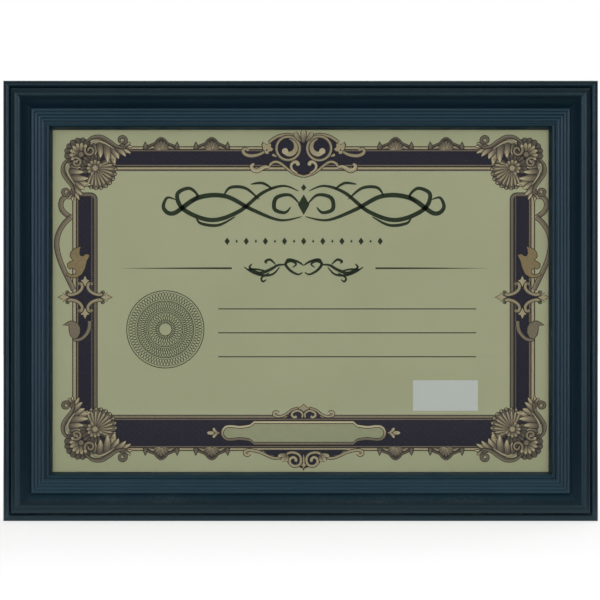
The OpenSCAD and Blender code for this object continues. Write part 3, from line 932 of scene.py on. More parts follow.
def print_finish(name, colour_from):
    made = Finish(name)
    lay = strands(made, 0.2 * MM, (20, 95))
    made.set("Base Color", made.blend(made.times(lay, FIBRE_SHOWS), colour_from(made), PAPER_SHADE))
    made.set("Roughness", 0.7)
    made.set("Specular IOR Level", 0.0)
    made.bump(lay, 0.005 * MM)
    return made.material


def gold_from_tone(made):
    tone = made.node("ShaderNodeAttribute", attribute_name="tone").outputs["Fac"]
    specks = made.mask(mottle, Size=SPECK_SIZE, Contrast=1.0)
    tone = made.plus(tone, made.times(made.minus(specks, 0.5), SPECK_SWING))
    ramp = made.node("ShaderNodeValToRGB")
    stops = ramp.color_ramp.elements
    while len(stops) < len(INK_STOPS):
        stops.new(1.0)
    for stop, (at, colour) in zip(stops, INK_STOPS):
        stop.position, stop.color = at, colour
    made.feed(ramp.inputs[0], tone)
    return ramp.outputs[0]


def lattice(made):
    axes = made.split(made.spot)
    lines = 0.0
    for operation in ("ADD", "SUBTRACT"):
        slanted = made.calc(operation, axes["X"], axes["Z"])
        turns = made.calc("FRACT", made.calc("DIVIDE", slanted, LATTICE_PITCH))
        off = made.calc("ABSOLUTE", made.minus(turns, 0.5))
        lines = made.most(lines, made.minus(1.0, made.fade(off, 0.0, LATTICE_LINE)))
    return made.blend(made.times(lines, LATTICE_SHOWS), NAVY, NAVY_LINE)


def mottled(size, dark, pale):
    return lambda made: made.blend(made.mask(mottle, Size=size, Contrast=1.0), screen(*dark),
                                   screen(*pale))


gold_ink = print_finish("gold_ink", gold_from_tone)
navy_ink = print_finish("navy_ink", lattice)
dark_ink = print_finish("dark_ink", mottled(3 * MM, (38, 46, 36), (48, 56, 44)))
plaque_ink = print_finish("plaque_ink", mottled(3 * MM, (147, 147, 118), (155, 155, 125)))
leaf_ink = print_finish("leaf_ink", mottled(1.5 * MM, (126, 109, 82), (140, 122, 91)))
print("inks ready")


# %% [markdown]
# The border is a dark band between double gold rules. Its sizes are read off the sheet: half
# the width and height to the outer rule, and how deep each side of the band is. The band
# stops short of the far edges of its rules, so that it never shows past them. A rule is a
# list of thin steps, each with a thickness and a tone, from the outside in.

# %% Border band
BAND_X, BAND_Z = 135.5, 89.2
SIDE_DEPTH, TOP_DEPTH, BOTTOM_DEPTH = 14.9, 14.5, 21.2
SIDE_TOP, SIDE_TOP_RADIUS = 62.2, 4.2
SIDE_CLOSE_X = 132.4
BAND_INSET, SIDE_INSET = 1, 2
inner_x = BAND_X - SIDE_DEPTH
top_inner_z = BAND_Z - TOP_DEPTH
bottom_inner_z = -BAND_Z + BOTTOM_DEPTH

band = Plate()
band.box(-BAND_X, top_inner_z + BAND_INSET, BAND_X, BAND_Z - BAND_INSET, 0)
band.box(-BAND_X, -BAND_Z + BAND_INSET, BAND_X, bottom_inner_z - BAND_INSET, 0)
for side in (-1, 1):
    band.box(side * (BAND_X - BAND_INSET), bottom_inner_z - BAND_INSET,
             side * (inner_x + SIDE_INSET), SIDE_TOP - SIDE_INSET, 0)
print_piece("border_band", band, navy_ink)

# %% Border rules
SIDE_OUTER = ((0.6, 0.0), (1.5, 0.84), (0.6, 0.0), (0.8, 0.52), (0.4, 0.0))
SIDE_INNER = ((0.55, 0.0), (1.6, 0.47), (0.55, 0.0))
TOP_OUTER = ((0.55, 0.0), (1.1, 0.84), (0.6, 0.0), (0.6, 0.5))
TOP_INNER = ((0.5, 0.3), (0.45, 0.0), (1.2, 0.86), (0.8, 0.0), (0.6, 0.55))
BOTTOM_INNER = ((0.55, 0.0), (1.2, 0.60), (0.6, 0.0), (0.6, 0.5))
DASH_PITCH, DASH_LONG, DASH_WIDE, DASH_GAP, DASH_TONE = 1.0, 0.55, 0.6, 0.45, 0.55
LEVEL_RULE, UPRIGHT_RULE, DASH_LAYER = 1, 2, 3


def rule_across(plate, x0, x1, z, down, steps):
    for thick, tone in steps:
        plate.box(x0, z, x1, z + down * thick, LEVEL_RULE, tone)
        z += down * thick


def rule_up(plate, x, inward, z0, z1, steps):
    for thick, tone in steps:
        plate.box(x, z0, x + inward * thick, z1, UPRIGHT_RULE, tone)
        x += inward * thick


def closed_side(inset):
    middle = (inner_x + SIDE_TOP_RADIUS, SIDE_TOP - SIDE_TOP_RADIUS)
    turn = [polar(middle, SIDE_TOP_RADIUS - inset, math.radians(a)) for a in range(180, 89, -10)]
    return [(inner_x + inset, bottom_inner_z), *turn, (SIDE_CLOSE_X, SIDE_TOP - inset)]


rules = Plate()
rule_across(rules, -BAND_X, BAND_X, BAND_Z, -1, TOP_OUTER)
rule_across(rules, -BAND_X, BAND_X, top_inner_z, 1, TOP_INNER)
rule_across(rules, -BAND_X, BAND_X, -BAND_Z, 1, TOP_OUTER)
rule_across(rules, -inner_x, inner_x, bottom_inner_z, -1, BOTTOM_INNER)
dashes = int((SIDE_TOP - bottom_inner_z) / DASH_PITCH) - 2
for side in (-1, 1):
    rule_up(rules, side * BAND_X, -side, -BAND_Z, SIDE_TOP, SIDE_OUTER)
    inset = 0.0
    for thick, tone in SIDE_INNER:
        edges = zip(closed_side(inset), closed_side(inset + thick))
        rules.grid([[(side * x, z, UPRIGHT_RULE, tone) for x, z in pair] for pair in edges])
        inset += thick
    near = inner_x + inset + DASH_GAP
    for index in range(dashes):
        z = bottom_inner_z + (index + 1) * DASH_PITCH
        rules.box(side * near, z, side * (near + DASH_WIDE), z + DASH_LONG, DASH_LAYER, DASH_TONE)
print_piece("border_rules", rules, gold_ink)


# %% [markdown]
# The corners carry the carving: a scalloped rosette outside, a leaf scroll along each edge,
# and a shell that opens towards the middle. Only the leaf along the top is drawn. The one
# down the side is the same leaf with its two directions swapped, and the four corners are
# the same plate turned over. Places are measured from the corner of the outer rule.

# %% Leaf scroll of a corner
LEAF_LOBES = (
    ((12.6, 1.4), (13.4, -5.0), 2.8), ((15.6, 2.2), (16.4, -6.8), 3.6), ((19.4, 1.6), (20.6, -9.6), 4.0),
    ((20.8, 1.0), (24.8, -11.0), 4.4), ((22.4, 0.4), (27.2, -7.4), 3.8), ((24.8, -0.4), (31.4, -6.0), 3.0),
    ((25.2, -0.8), (34.4, -4.2), 2.8), ((27.0, -0.6), (35.2, -0.4), 2.4), ((30.6, -0.6), (34.2, 2.2), 1.6),
)
LOBE_START, LOBE_RUN, LOBE_POWER, LOBE_BOW = 0.18, 0.82, 0.75, 0.10
LEAF_BACK = ((8.4, 2.6), (12.0, 5.0), (16.8, 5.2), (21.4, 2.8), (25.4, 0.2), (30.0, -1.2))
LEAF_RIDGE = ((10.8, 1.4), (14.0, 2.9), (17.8, 2.4), (21.6, 0.4), (24.6, -1.6))
LEAF_CURL, LEAF_HOOK = (29.2, 3.6), (10.4, -2.4)
LEAF_LAYER, BACK_LAYER, RIDGE_LAYER = 7, 13, 15


def leaflet(plate, start, end, width, layer):
    def swell(t):
        return width * max(0.0, math.sin(math.pi * (LOBE_START + LOBE_RUN * t))) ** LOBE_POWER

    def shade(t, side):
        return 0.26 + 0.95 * t * (1 - 0.5 * abs(side)) + 0.06 * side

    ribbon(plate, bowed(start, end, LOBE_BOW), swell, layer, shade)


def leaf_scroll():
    plate = Plate()
    for index, lobe in enumerate(LEAF_LOBES):
        leaflet(plate, *lobe, LEAF_LAYER + 2 * (index % 3))
    ribbon(plate, spiral(LEAF_CURL, 2.7, 0.8, -80, 430, 30), 1.2, LEAF_LAYER, 0.50)
    dot(plate, LEAF_CURL, 0.7, LEAF_LAYER, 0.9, FINE_HAIR)
    ribbon(plate, through(LEAF_BACK), swelling(0.8, 1.4), BACK_LAYER, shaded(0.46, across=0.2))
    ribbon(plate, through(LEAF_RIDGE), swelling(0.3, 0.7), RIDGE_LAYER, 0.86, 0.24)
    hook = spiral(LEAF_HOOK, 3.4, 1.1, 150, 400, 40)
    ribbon(plate, hook, changing(1.4, -0.3), BACK_LAYER, shaded(0.58, across=0.30))
    return plate


leaf = leaf_scroll()
print("leaf scroll", len(leaf.faces), "faces")

# %% Corner ornament
ROSETTE, BOSS = (5.2, -4.8), (13.4, -12.8)
TO_CORNER, TO_MIDDLE = 135, -45
SHELL_RIBS, SHELL_SPREAD = 11, 70
RIB_REACH, RIB_DROP = 12.5, 1.25
SIDE_LEAF_LENGTH = 0.91
WIDE_HAIR = 0.6
CORNER_LIFT = 4
CORNER_GROUND = ((1, -1), (12, 2), (22, -1), (25, -9), (23, -14), (14, -22), (9, -22), (2, -20), (-1, -12))
# Middle, direction, half spread, petals, inner and outer reach, width, layer, tones, outline
CORNER_FANS = (
    (ROSETTE, TO_CORNER, 112, 12, 1.0, 10.2, 3.0, 1, 0.06, 0.42, WIDE_HAIR),
    (ROSETTE, TO_CORNER, 96, 9, 0.8, 7.0, 1.9, 7, 0.30, 0.98, THIN_HAIR),
    (BOSS, TO_MIDDLE, SHELL_SPREAD, SHELL_RIBS, 0.6, 13.4, 3.4, 1, 0.04, 0.50, WIDE_HAIR),
    (BOSS, TO_MIDDLE, SHELL_SPREAD, SHELL_RIBS, 0.8, 11.2, 1.1, 7, 0.40, 0.92, FINE_HAIR),
    (BOSS, TO_CORNER, 62, 9, 1.0, 9.4, 2.0, 1, 0.05, 0.46, HAIR),
    (BOSS, TO_CORNER, 105, 8, 0.8, 5.0, 1.7, 11, 0.20, 0.92, THIN_HAIR),
)


def corner_plate():
    plate = Plate()
    for row in CORNER_FANS:
        fan(plate, *row)
    dot(plate, ROSETTE, 1.5, 13, 0.55)
    dot(plate, BOSS, 1.6, 17, 0.8, THIN_HAIR)
    for index in range(SHELL_RIBS):
        share = 2 * index / (SHELL_RIBS - 1) - 1
        angle = math.radians(TO_MIDDLE + SHELL_SPREAD * share)
        dot(plate, polar(BOSS, RIB_REACH - RIB_DROP * share * share, angle), 0.6, 9, 0.8, 0.25)
    plate.stamp(leaf)
    plate.stamp(leaf, swap=True, squash=SIDE_LEAF_LENGTH)
    return plate


corner, corner_ground = corner_plate(), Plate()
corner_ground.area(CORNER_GROUND, 0)
for flip_x, across in ((False, "_left"), (True, "_right")):
    for flip_z, height in ((False, "top"), (True, "bottom")):
        move = (BAND_X if flip_x else -BAND_X, -BAND_Z if flip_z else BAND_Z)
        for name, drawn, ink in (("ornament", corner, gold_ink), ("ground", corner_ground, navy_ink)):
            plate = Plate()
            plate.stamp(drawn, move, flip_x, flip_z, lift=CORNER_LIFT)
            print_piece("corner_" + name + "_" + height + across, plate, ink)


# %% [markdown]
# Small crests sit on the outer rules, four along the top and four along the bottom.

# %% Crests
CREST_PLACES = (-83.4, -53.8, 53.8, 83.4)
CREST_SINK = 0.9
CREST_SLOPE = ((8.8, 0.4), (6.4, 1.5), (3.8, 2.6), (2.2, 4.4), (0, 5.9))
CREST_FOOT = (8.8, -1.2)
CREST_END = ((9.2, -1.6), (10.8, -0.6), (10.6, 1.4), (9.4, 3.9), (8.0, 1.6), (7.6, -0.4))


def crest_plate():
    plate = Plate()
    plate.area(both_halves((CREST_FOOT, *CREST_SLOPE)), 3, 0.10)
    fan(plate, (0, -1.4), 90, 70, 7, 0.6, 5.8, 1.5, 5, 0.85, 0.34, FINE_HAIR)
    for side in (-1, 1):
        ribbon(plate, through(flipped(CREST_SLOPE, side), 6), 0.7, 11, 0.40)
        petal(plate, (side * 7.6, -0.7), (side * 4.2, 0.6), 1.2, 0, 11, 0.5, 0.85, FINE_HAIR)
        outlined(plate, flipped(CREST_END, side), 13, 0.36, 0.78)
        petal(plate, (side * 9.2, -0.8), (side * 9.3, 2.4), 1.0, 0, 15, 0.4, 0.6, 0)
    return plate


crests = Plate()
crest = crest_plate()
for x in CREST_PLACES:
    crests.stamp(crest, (x, BAND_Z - CREST_SINK))
    crests.stamp(crest, (x, -BAND_Z + CREST_SINK), flip_z=True)
print_piece("border_crests", crests, gold_ink)


# %% [markdown]
# A cartouche of two facing volutes breaks the top band, and a lobed plaque with a scroll
# crest above and below it breaks the bottom one. Both are symmetrical, so each stroke is
# drawn for one side and repeated for the other with its x turned round.

# %% Top cartouche
ARCH = through([(-20.4, 91.2), (-18.4, 93.0), (-14.6, 95.1), (-9.7, 96.0), (-6.2, 95.4), (-3.6, 93.6)])
BOWL = through([(-17.6, 80.4), (-13.0, 78.9), (-8.0, 74.9), (-4.0, 72.4), (0.0, 71.6)])
HOOK = through([(-22.4, 86.4), (-25.3, 84.7), (-28.5, 83.8), (-31.9, 83.7), (-34.7, 84.9), (-35.4, 86.8),
                (-34.2, 87.8), (-33.0, 87.1)])
FOOT = through([(-20.2, 77.4), (-18.8, 79.2), (-16.8, 80.1), (-14.4, 79.7), (-11.6, 77.8), (-9.1, 75.7),
                (-5.4, 73.2), (0.0, 71.5)])
FOOT_LEAF = through([(-28.9, 78.8), (-30.4, 77.8), (-29.8, 75.8), (-27.2, 75.0), (-24.8, 76.2),
                     (-22.7, 77.2), (-20.2, 77.0)])
TENDRIL = through([(-3.8, 73.4), (-6.4, 75.2), (-7.4, 77.6), (-6.2, 79.6), (-4.2, 80.0), (-3.2, 78.8)])
VOLUTE = (-9.1, 88.0)
VOLUTE_RING = spiral(VOLUTE, 6.9, 6.9, 90, 360, 48)
VOLUTE_COMMA = spiral(VOLUTE, 5.6, 2.6, 82, -220, 40)
COMMA_RUN = 0.8
CARTOUCHE_LEAF = ((24.8, 90.2), (24.0, 91.9), (22.7, 90.9), (21.3, 90.3), (20.2, 91.5), (18.7, 91.1),
                  (18.8, 88.9), (17.1, 87.3), (18.5, 85.9), (19.9, 86.0), (20.7, 84.0), (22.6, 84.2),
                  (23.0, 86.4), (24.2, 87.2), (24.5, 88.8))
# Line, width, layer and tone of each stroke
CARTOUCHE_STROKES = (
    (ARCH, 1.3, 4, 0.76),
    (HOOK, swelling(1.1, 0.7), 4, 0.76),
    (FOOT, changing(1.3, -0.2), 4, 0.80),
    (TENDRIL, changing(1.0, 0.9), 6, 0.88),
    (VOLUTE_RING, 1.3, 6, shaded(0.74, across=0.16)),
    (VOLUTE_COMMA, lambda t: swelling(0.7, 2.1)(t * COMMA_RUN), 8, shaded(0.70, along=0.22)),
    (FOOT_LEAF, swelling(1.2, 1.1), 6, shaded(0.86, across=-0.12)),
)
# Place, radius, layer and tone of each dot
CARTOUCHE_DOTS = (((21.6, 87.0), 0.5, 10, 0.05), ((32.9, 87.2), 0.8, 5, 0.76), ((3.4, 78.9), 1.1, 7, 0.88),
                  ((10.9, 86.3), 1.8, 9, 0.92))

cartouche_ground = Plate()
ground_rim = ARCH + flipped(ARCH, -1)[::-1] + flipped(BOWL, -1) + BOWL[::-1]
cartouche_ground.area(ground_rim, 3)
print_piece("cartouche_ground", cartouche_ground, navy_ink)

cartouche = Plate()
for side in (-1, 1):
    for line, width, layer, tone in CARTOUCHE_STROKES:
        ribbon(cartouche, flipped(line, -side), width, layer, tone)
    for (x, z), radius, layer, tone in CARTOUCHE_DOTS:
        dot(cartouche, (side * x, z), radius, layer, tone, 0)
    outlined(cartouche, flipped(CARTOUCHE_LEAF, side), 8, 0.82)
    petal(cartouche, (side * 15.8, 83.2), (side * 18.4, 84.4), 1.4, 0, 8, 0.6, 0.9)
    petal(cartouche, (side * 0.6, 92.2), (side * 5.0, 97.6), 2.4, -0.25 * side, 10, 0.4, 0.9)
petal(cartouche, (0, 91.4), (0, 99.2), 3.0, 0, 12, 0.4, 0.98)
print_piece("top_cartouche", cartouche, gold_ink)

# %% Bottom plaque
PLAQUE_Z = -78.6
PLAQUE_HALF, PLAQUE_MID = 48.0, 31.0
PLAQUE_LOBE, PLAQUE_RISE = 4.3, 6.6
PLAQUE_FACE_INSET = 1.35
FINIAL_START, FINIAL_END, SIDE_LOBE_END, SIDE_LOBE_UP = 49.4, 56.6, 53.0, 3.0


def plaque_rim(inset):
    lobe, rise = PLAQUE_LOBE - inset, PLAQUE_RISE - inset
    end = PLAQUE_HALF - PLAQUE_LOBE
    quarter = [polar((end, 0.0), lobe, math.radians(a)) for a in range(0, 91, 10)]
    neck = through([(end - 2.0, lobe), (end - 6.0, lobe - 0.5), (end - 9.5, lobe - 0.2)], 5)
    step = [(PLAQUE_MID + 0.4, lobe + 0.3), (PLAQUE_MID - 2.0, rise)]
    right = quarter + neck + step
    top = right + [(-x, z) for x, z in right[::-1]]
    return top + [(-x, -z) for x, z in top[1:-1]]


def plaque_area(plate, inset, layer):
    plate.area([(x, z + PLAQUE_Z) for x, z in plaque_rim(inset)], layer)


def plaque_bevel(plate, outer, inner, layer, pale, dark):
    rows = []
    for (x0, z0), (x1, z1) in zip(plaque_rim(outer), plaque_rim(inner)):
        lit = max(0.0, min(1.0, 0.5 + z0 / (2 * PLAQUE_LOBE)))
        tone = dark + (pale - dark) * lit
        rows.append([(x0, z0 + PLAQUE_Z, layer, tone), (x1, z1 + PLAQUE_Z, layer, tone)])
    plate.grid(rows + rows[:1])


plaque, plaque_face = Plate(), Plate()
plaque_area(plaque, -0.6, 1)
plaque_bevel(plaque, -0.2, 0.9, 3, 1.0, 0.55)
plaque_bevel(plaque, 0.9, 1.3, 3, 0.05, 0.15)
for side in (-1, 1):
    start = side * FINIAL_START
    petal(plaque, (start, PLAQUE_Z), (side * FINIAL_END, PLAQUE_Z), 2.0, 0, 3, 0.7, 0.95)
    for up in (-1, 1):
        tip = (side * SIDE_LOBE_END, PLAQUE_Z + up * SIDE_LOBE_UP)
        petal(plaque, (start + side * 0.6, PLAQUE_Z), tip, 1.5, -0.22 * side * up, 5, 0.7, 0.95)
plaque_area(plaque_face, PLAQUE_FACE_INSET, 4)
print_piece("plaque_border", plaque, gold_ink)
print_piece("plaque_face", plaque_face, plaque_ink)

# %% Plaque crests
UPPER_GROUND = ((10.5, -69.9), (7.5, -66.2), (3.5, -64.8), (0, -66.0))
LOWER_GROUND = ((25.0, -88.4), (21.0, -91.0), (17.0, -92.4), (12.0, -92.6), (9.0, -96.6), (3.0, -98.6),
                (0, -99.6))
UPPER_ARM = ((-3.2, -64.0), (-7.0, -65.2), (-9.6, -67.2), (-12.4, -68.7), (-15.4, -69.0), (-17.3, -68.2),
             (-17.3, -66.8), (-15.9, -66.3), (-14.7, -67.1))
UPPER_VOLUTE = ((-0.9, -69.6), (-0.8, -67.2), (-3.4, -65.6), (-6.3, -66.6), (-6.9, -68.4), (-5.4, -69.5),
                (-4.2, -68.9))
UPPER_TIP = ((0, -61.4), (1.6, -63.0), (3.8, -64.2), (1.5, -65.2), (0, -66.6))
LOWER_ARM = ((-12.6, -93.0), (-17.3, -93.3), (-21.2, -91.9), (-25.0, -90.1), (-29.0, -89.0), (-32.2, -88.6),
             (-34.2, -89.4), (-34.4, -91.0), (-32.8, -91.7), (-31.6, -90.6))
LOWER_VOLUTE = ((-11.2, -92.2), (-8.8, -90.4), (-5.4, -90.2), (-2.4, -91.8), (-1.6, -94.9), (-2.8, -97.4),
                (-5.6, -98.0), (-7.9, -96.4), (-8.0, -94.0), (-6.1, -92.9), (-4.5, -94.0), (-4.7, -95.4))
LOWER_LOBES = (((9.8, -91.2), (15.0, -92.4), 2.0), ((9.6, -91.4), (12.8, -95.4), 2.3),
               ((9.2, -92.0), (10.2, -95.4), 2.0))
LOWER_SPEAR = ((0, -88.9), (0.6, -92.0), (0.7, -96.6), (2.0, -98.2), (0.8, -99.0), (0, -101.0))
# Points of each scroll, its width at the start and how much wider it ends
CREST_SCROLLS = ((UPPER_ARM, 0.8, 0.4), (UPPER_VOLUTE, 0.9, 0.4), (LOWER_ARM, 1.1, 0.2),
                 (LOWER_VOLUTE, 1.2, 0.3))

crest_ground, scrolls = Plate(), Plate()
crest_ground.area(both_halves(UPPER_GROUND), 3)
crest_ground.area(both_halves(LOWER_GROUND), 3)
for side in (-1, 1):
    for points, thin, gain in CREST_SCROLLS:
        curve = flipped(through(points), -side)
        ribbon(scrolls, curve, changing(thin, gain), 4, shaded(0.78, along=0.1))
    for start, end, width in LOWER_LOBES:
        petal(scrolls, *flipped((start, end), side), width, 0.1 * side, 6, 0.5, 0.96)
outlined(scrolls, both_halves(UPPER_TIP), 8, 0.80)
outlined(scrolls, both_halves(LOWER_SPEAR), 12, 0.80, 0.72)
print_piece("crest_ground", crest_ground, navy_ink)
print_piece("plaque_scrolls", scrolls, gold_ink)


# %% [markdown]
# Half way up each side is a four-pointed cross of scrolls. Above it a ribbon loops outside
# the band and a leaf lies over it, and below it hangs a small sprig.

# %% Cross at mid height
CROSS_X, CROSS_Z = -128.0, 0.8
CROSS_WIDE, CROSS_TALL = 15.6, 12.6
STAR_WIDE, STAR_TALL, STAR_WAIST = 11.0, 8.4, 4.2
CROSS_ARM = ((10.6, 2.9), (9.0, 1.5), (6.0, 1.9), (3.2, 3.4), (1.7, 5.6), (2.2, 7.8), (3.8, 8.2))
ARM_WIDTH, ARM_LAYER, ARM_TONE = 1.5, 5, 0.74
ARM_ENDS = (((3.7, 7.9), 0.9), ((10.4, 2.8), 0.8))


def cross_tip(reach, grow):
    half = [(reach + 1.6 * grow, 0), (reach - 2.4, 1.1 + grow), (reach - 2.6, 2.5 + grow),
            (reach - 4.2, 1.0 + grow), (reach - 6.4 - grow, 0)]
    return half + [(x, -z) for x, z in half[-2:0:-1]]


def cross_plates():
    ground, gold = Plate(), Plate()
    star = []
    for index in range(4):
        a, b = math.radians(90 * index), math.radians(90 * index + 45)
        star.append((STAR_WIDE * math.cos(a), STAR_TALL * math.sin(a)))
        star.append(polar((0.0, 0.0), STAR_WAIST, b))
    ground.area(star, 4)
    arm = through(CROSS_ARM, 7)
    for sx in (-1, 1):
        for sz in (-1, 1):
            ribbon(gold, [(sx * x, sz * z) for x, z in arm], ARM_WIDTH, ARM_LAYER, ARM_TONE)
            for (x, z), radius in ARM_ENDS:
                dot(gold, (sx * x, sz * z), radius, ARM_LAYER, ARM_TONE)
    for c, s, reach in ((1, 0, CROSS_WIDE), (0, 1, CROSS_TALL), (-1, 0, CROSS_WIDE), (0, -1, CROSS_TALL)):
        for grow, layer, tone in ((HAIR, 7, 0.0), (0.0, 8, 0.84)):
            gold.area([(c * x - s * z, s * x + c * z) for x, z in cross_tip(reach, grow)], layer, tone)
    return ground, gold


cross_ground, cross_gold = cross_plates()
print("cross", len(cross_gold.faces), "faces")

# %% Side ornament
LEAF_RIM = ((-130.5, 30.4), (-132.3, 29.9), (-134.7, 28.8), (-136.3, 26.9), (-136.6, 24.8), (-135.7, 23.3),
            (-134.7, 22.0), (-136.6, 21.7), (-138.3, 20.2), (-138.1, 18.4), (-136.6, 17.3), (-135.7, 18.2),
            (-133.9, 17.5), (-132.9, 15.9), (-133.8, 14.3), (-136.0, 13.8), (-138.4, 15.0), (-139.1, 14.1),
            (-136.6, 12.5), (-132.9, 12.4), (-129.8, 14.4), (-128.0, 18.1), (-127.0, 22.3), (-125.8, 24.4),
            (-125.5, 25.5), (-127.3, 26.1), (-129.2, 24.8), (-130.7, 24.9), (-131.4, 26.6), (-131.1, 29.0))
SPRIG_RIM = ((-132.3, -14.6), (-131.0, -17.2), (-131.0, -20.0), (-132.3, -22.7), (-134.7, -23.6),
             (-136.6, -21.2), (-137.2, -18.4), (-137.2, -16.0), (-138.4, -15.4), (-140.8, -15.6),
             (-138.4, -14.1), (-136.6, -13.2), (-134.7, -13.4))
SHORT_LOOP = ((-132.4, 61.6), (-137.0, 60.6), (-141.0, 58.6), (-142.2, 54.6), (-140.6, 50.8), (-136.4, 47.6))
LONG_LOOP = ((-136.0, 48.0), (-140.2, 44.0), (-143.6, 38.0), (-144.6, 31.0), (-142.8, 22.8), (-139.4, 14.8),
             (-134.6, 5.0))
SPRIG_HOOK = ((-125.2, -13.2), (-125.6, -17.5), (-127.3, -20.9), (-129.8, -23.3), (-132.3, -24.2),
              (-134.7, -23.9))
LOOP_WIDTH = 2.3
GREY_GOLD = 0.56


def grown(rim, by):
    turning = sum(x0 * z1 - x1 * z0 for (x0, z0), (x1, z1) in zip(rim, rim[1:] + rim[:1]))
    wider = []
    for (ax, az), (x, z), (bx, bz) in zip(rim[-1:] + rim[:-1], rim, rim[1:] + rim[:1]):
        size = math.hypot(bx - ax, bz - az)
        reach = math.copysign(by, turning) / size
        wider.append((x + (bz - az) * reach, z - (bx - ax) * reach))
    return wider


def side_ribbon_and_sprig():
    plate = Plate()
    for points, layer in ((SHORT_LOOP, 3), (LONG_LOOP, 5)):
        ribbon(plate, through(points), LOOP_WIDTH, layer, shaded(GREY_GOLD, across=0.12))
    plate.area(grown(LEAF_RIM, HAIR), 7)
    ribbon(plate, through(SPRIG_HOOK), changing(2.0, -0.7), 4, GREY_GOLD)
    plate.area(grown(SPRIG_RIM, HAIR), 6)
    plate.area(SPRIG_RIM, 7, GREY_GOLD)
    return plate


for side, name in ((1, "left"), (-1, "right")):
    ground, gold, brown = Plate(), Plate(), Plate()
    ground.stamp(cross_ground, (side * CROSS_X, CROSS_Z), flip_x=side < 0)
    gold.stamp(cross_gold, (side * CROSS_X, CROSS_Z), flip_x=side < 0)
    gold.stamp(side_ribbon_and_sprig(), flip_x=side < 0)
    brown.area(flipped(LEAF_RIM, side), 8)
    print_piece("side_cross_ground_" + name, ground, navy_ink)
    print_piece("side_ornament_" + name, gold, gold_ink)
    print_piece("side_leaf_" + name, brown, leaf_ink)


# %% [markdown]
# The middle of the sheet is left to whoever fills it in. It has a pen flourish as a
# headpiece, a divider, plain writing lines, a blank label and a seal of fine interlaced
# lines. The seal is a rosette engine's work: each ring is a wave bent into a circle,
# repeated with its phase moved on.

# %% Divider and writing lines
DIVIDER_Z, DIVIDER_FROM, DIVIDER_TO = 17.8, 107.0, 42.0
WRITING_LINES, WRITING_LEFT, WRITING_RIGHT, LINE_HALF = (-6.0, -20.0, -34.0), -50.0, 101.0, 0.3
DIVIDER_STROKES = (
    ([(0.6, 15.4), (3.4, 14.2), (8.0, 16.6), (10.6, 20.4), (7.4, 22.0), (4.4, 20.2), (6.6, 18.2)], 1.3),
    ([(0, 19.4), (3.4, 21.6), (8.6, 23.0), (10.6, 21.6)], 1.1),
    ([(9.6, 19.8), (15.0, 19.6), (20.0, 16.8), (26.0, 15.0), (31.5, 18.0), (30.2, 20.4)], 1.5),
    ([(14.0, 18.6), (18.0, 14.4), (24.0, 13.6), (30.0, 15.4), (35.0, 18.6)], 1.1),
    ([(16.4, 20.0), (19.6, 22.8), (22.4, 21.8), (21.4, 20.6)], 1.2),
    ([(20.0, 15.2), (24.6, 12.2), (23.8, 10.0), (21.8, 11.2)], 0.9),
    ([(22.0, 16.2), (28.0, 17.2), (33.4, 17.0)], 0.8),
)


def tapered(plate, x0, x1, z, pieces=16):
    line = [(x0 + (x1 - x0) * i / pieces, z) for i in range(pieces + 1)]
    strip(plate, line, lambda t: math.sin(math.pi * min(1.0, t * 0.5 + 0.02)), 1, 0.0, lanes=1)


def pen_strokes(plate, strokes, up, least, power, steps):
    for side in (-1, 1):
        for points, width in strokes:
            line = through([(side * x, z + up) for x, z in points], steps)
            strip(plate, line, swelling(least, width, power), 1, 0.0, 2)


pen = Plate()
pen_strokes(pen, DIVIDER_STROKES, 0.0, 0.35, 0.7, 8)
for side in (-1, 1):
    tapered(pen, side * DIVIDER_FROM, side * DIVIDER_TO, DIVIDER_Z)
for z in WRITING_LINES:
    pen.box(WRITING_LEFT, z - LINE_HALF, WRITING_RIGHT, z + LINE_HALF, 1)
print_piece("divider_and_lines", pen, dark_ink)

# %% Headpiece
HEAD_Z, SMALL_ROW_Z, SMALL_PITCH = 55.0, 33.6, 5.6
HEAD_STROKES = (
    ([(1.0, -7.0), (14.0, -9.0), (30.0, -3.0), (46.0, 5.0), (62.0, 4.0), (76.0, -5.0), (82.0, -2.0),
      (80.0, 4.0), (75.0, 3.0)], 2.4),
    ([(3.0, 8.0), (12.0, 11.0), (24.0, 7.0), (38.0, -4.0), (54.0, -9.0), (70.0, -3.0), (74.0, 6.0),
      (67.0, 9.6), (62.0, 5.0), (66.0, 1.6)], 2.2),
    ([(2.0, 0.0), (8.0, 5.6), (16.0, 4.0), (17.0, -2.6), (11.0, -4.6), (7.6, -1.4)], 2.0),
    ([(26.0, 3.0), (34.0, 9.6), (43.0, 10.0), (47.0, 5.0)], 1.5),
    ([(40.0, -7.0), (50.0, -12.0), (60.0, -11.0), (63.0, -7.6)], 1.4),
    ([(18.0, 9.0), (24.0, 12.6), (31.0, 12.0)], 1.2),
)


def lozenge(plate, x, z, wide, tall):
    plate.area([(x - wide, z), (x, z - tall), (x + wide, z), (x, z + tall)], 1)


headpiece = Plate()
pen_strokes(headpiece, HEAD_STROKES, HEAD_Z, 0.4, 0.8, 10)
lozenge(headpiece, 0, HEAD_Z, 3.4, 6.0)
lozenge(headpiece, 0, HEAD_Z + 10, 1.6, 2.0)
for index in range(-8, 9):
    tall = 1.0 if index % 2 else 2.2
    lozenge(headpiece, index * SMALL_PITCH, SMALL_ROW_Z, tall * 0.7, tall)
print_piece("headpiece", headpiece, dark_ink)

# %% Seal
SEAL = (-81.0, -18.0)
SEAL_STEPS = 240
# Radius, swing, waves and copies of each wavy ring
SEAL_WAVES = ((19.5, 2.2, 24, 3), (13.5, 2.6, 16, 4), (6.6, 3.0, 8, 4))
SEAL_RINGS = (22.6, 16.6, 10.2)


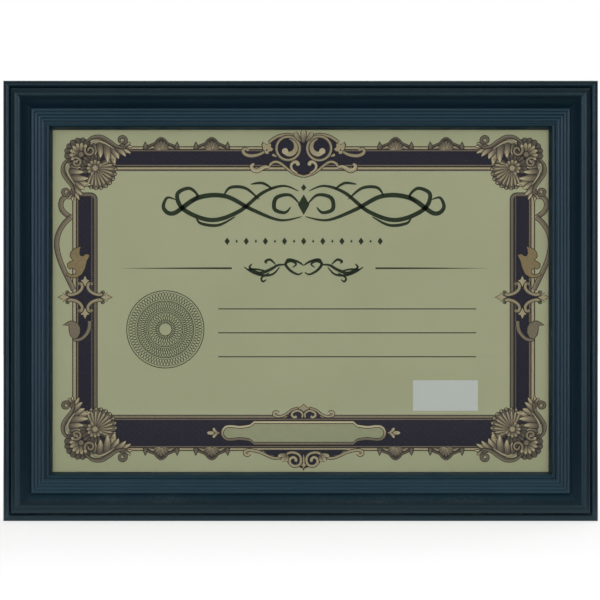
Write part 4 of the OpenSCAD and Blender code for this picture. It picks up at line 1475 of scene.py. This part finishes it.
def wavy_ring(radius, swing, waves, phase):
    angles = [2 * math.pi * step / SEAL_STEPS for step in range(SEAL_STEPS + 1)]
    return [polar(SEAL, radius + swing * math.sin(waves * angle + phase), angle) for angle in angles]


seal = Plate()
for radius, swing, waves, copies in SEAL_WAVES:
    for copy in range(copies):
        line = wavy_ring(radius, swing, waves, 2 * math.pi * copy / copies)
        strip(seal, line, 0.34, 1 + copy, 0.0, 1)
for radius in SEAL_RINGS:
    strip(seal, spiral(SEAL, radius, radius, 0, 360, 120), 0.5, 5, 0.0, 1)
print_piece("seal", seal, dark_ink)

# %% Blank label
LABEL = (64.0, -65.6, 102.0, -47.8)


def label_paper():
    made = Finish("label_paper")
    lay = strands(made, 0.18 * MM, (15, 80))
    made.set("Base Color", made.blend(lay, screen(198, 200, 196), screen(186, 188, 184)))
    made.set("Roughness", 0.6)
    made.bump(lay, 0.006 * MM)
    return made.material


label = Plate()
label.box(*LABEL, 1)
print_piece("blank_label", label, label_paper())


# %% [markdown]
# The remaining solids keep their shape and take their finish.

# %% Finishes on the solids
FINISHES = {
    "rail_top": lacquer_across, "rail_bottom": lacquer_across,
    "rail_left": lacquer_up, "rail_right": lacquer_up,
    "corner_v_nails": nail_steel, "certificate_sheet": paper, "filler_card": grey_card,
    "backing_board": hardboard, "easel_leg": leg_facing, "turn_button_screws": zinc,
    "hanger_strap_top": strap_nickel, "hanger_strap_side": strap_nickel, "hanger_rivets": strap_nickel,
    "hanger_ring_top": ring_nickel, "hanger_ring_side": ring_nickel,
    "hinge_leaf_board": hinge_steel, "hinge_leaf_leg": hinge_steel, "hinge_pin": hinge_steel,
    "hinge_rivets_board": hinge_steel, "hinge_rivets_leg": hinge_steel,
}
for where in ("top_left", "top_right", "bottom_left", "bottom_right", "left", "right"):
    FINISHES["turn_button_" + where] = brass
for name, finish in FINISHES.items():
    for slot in nodes[name].material_slots:
        slot.material = finish
print("finished solids", len(FINISHES))

# %% Sizes and end
low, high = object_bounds()
print("visual box", [round(v / MM, 2) for v in (*low, *high)])
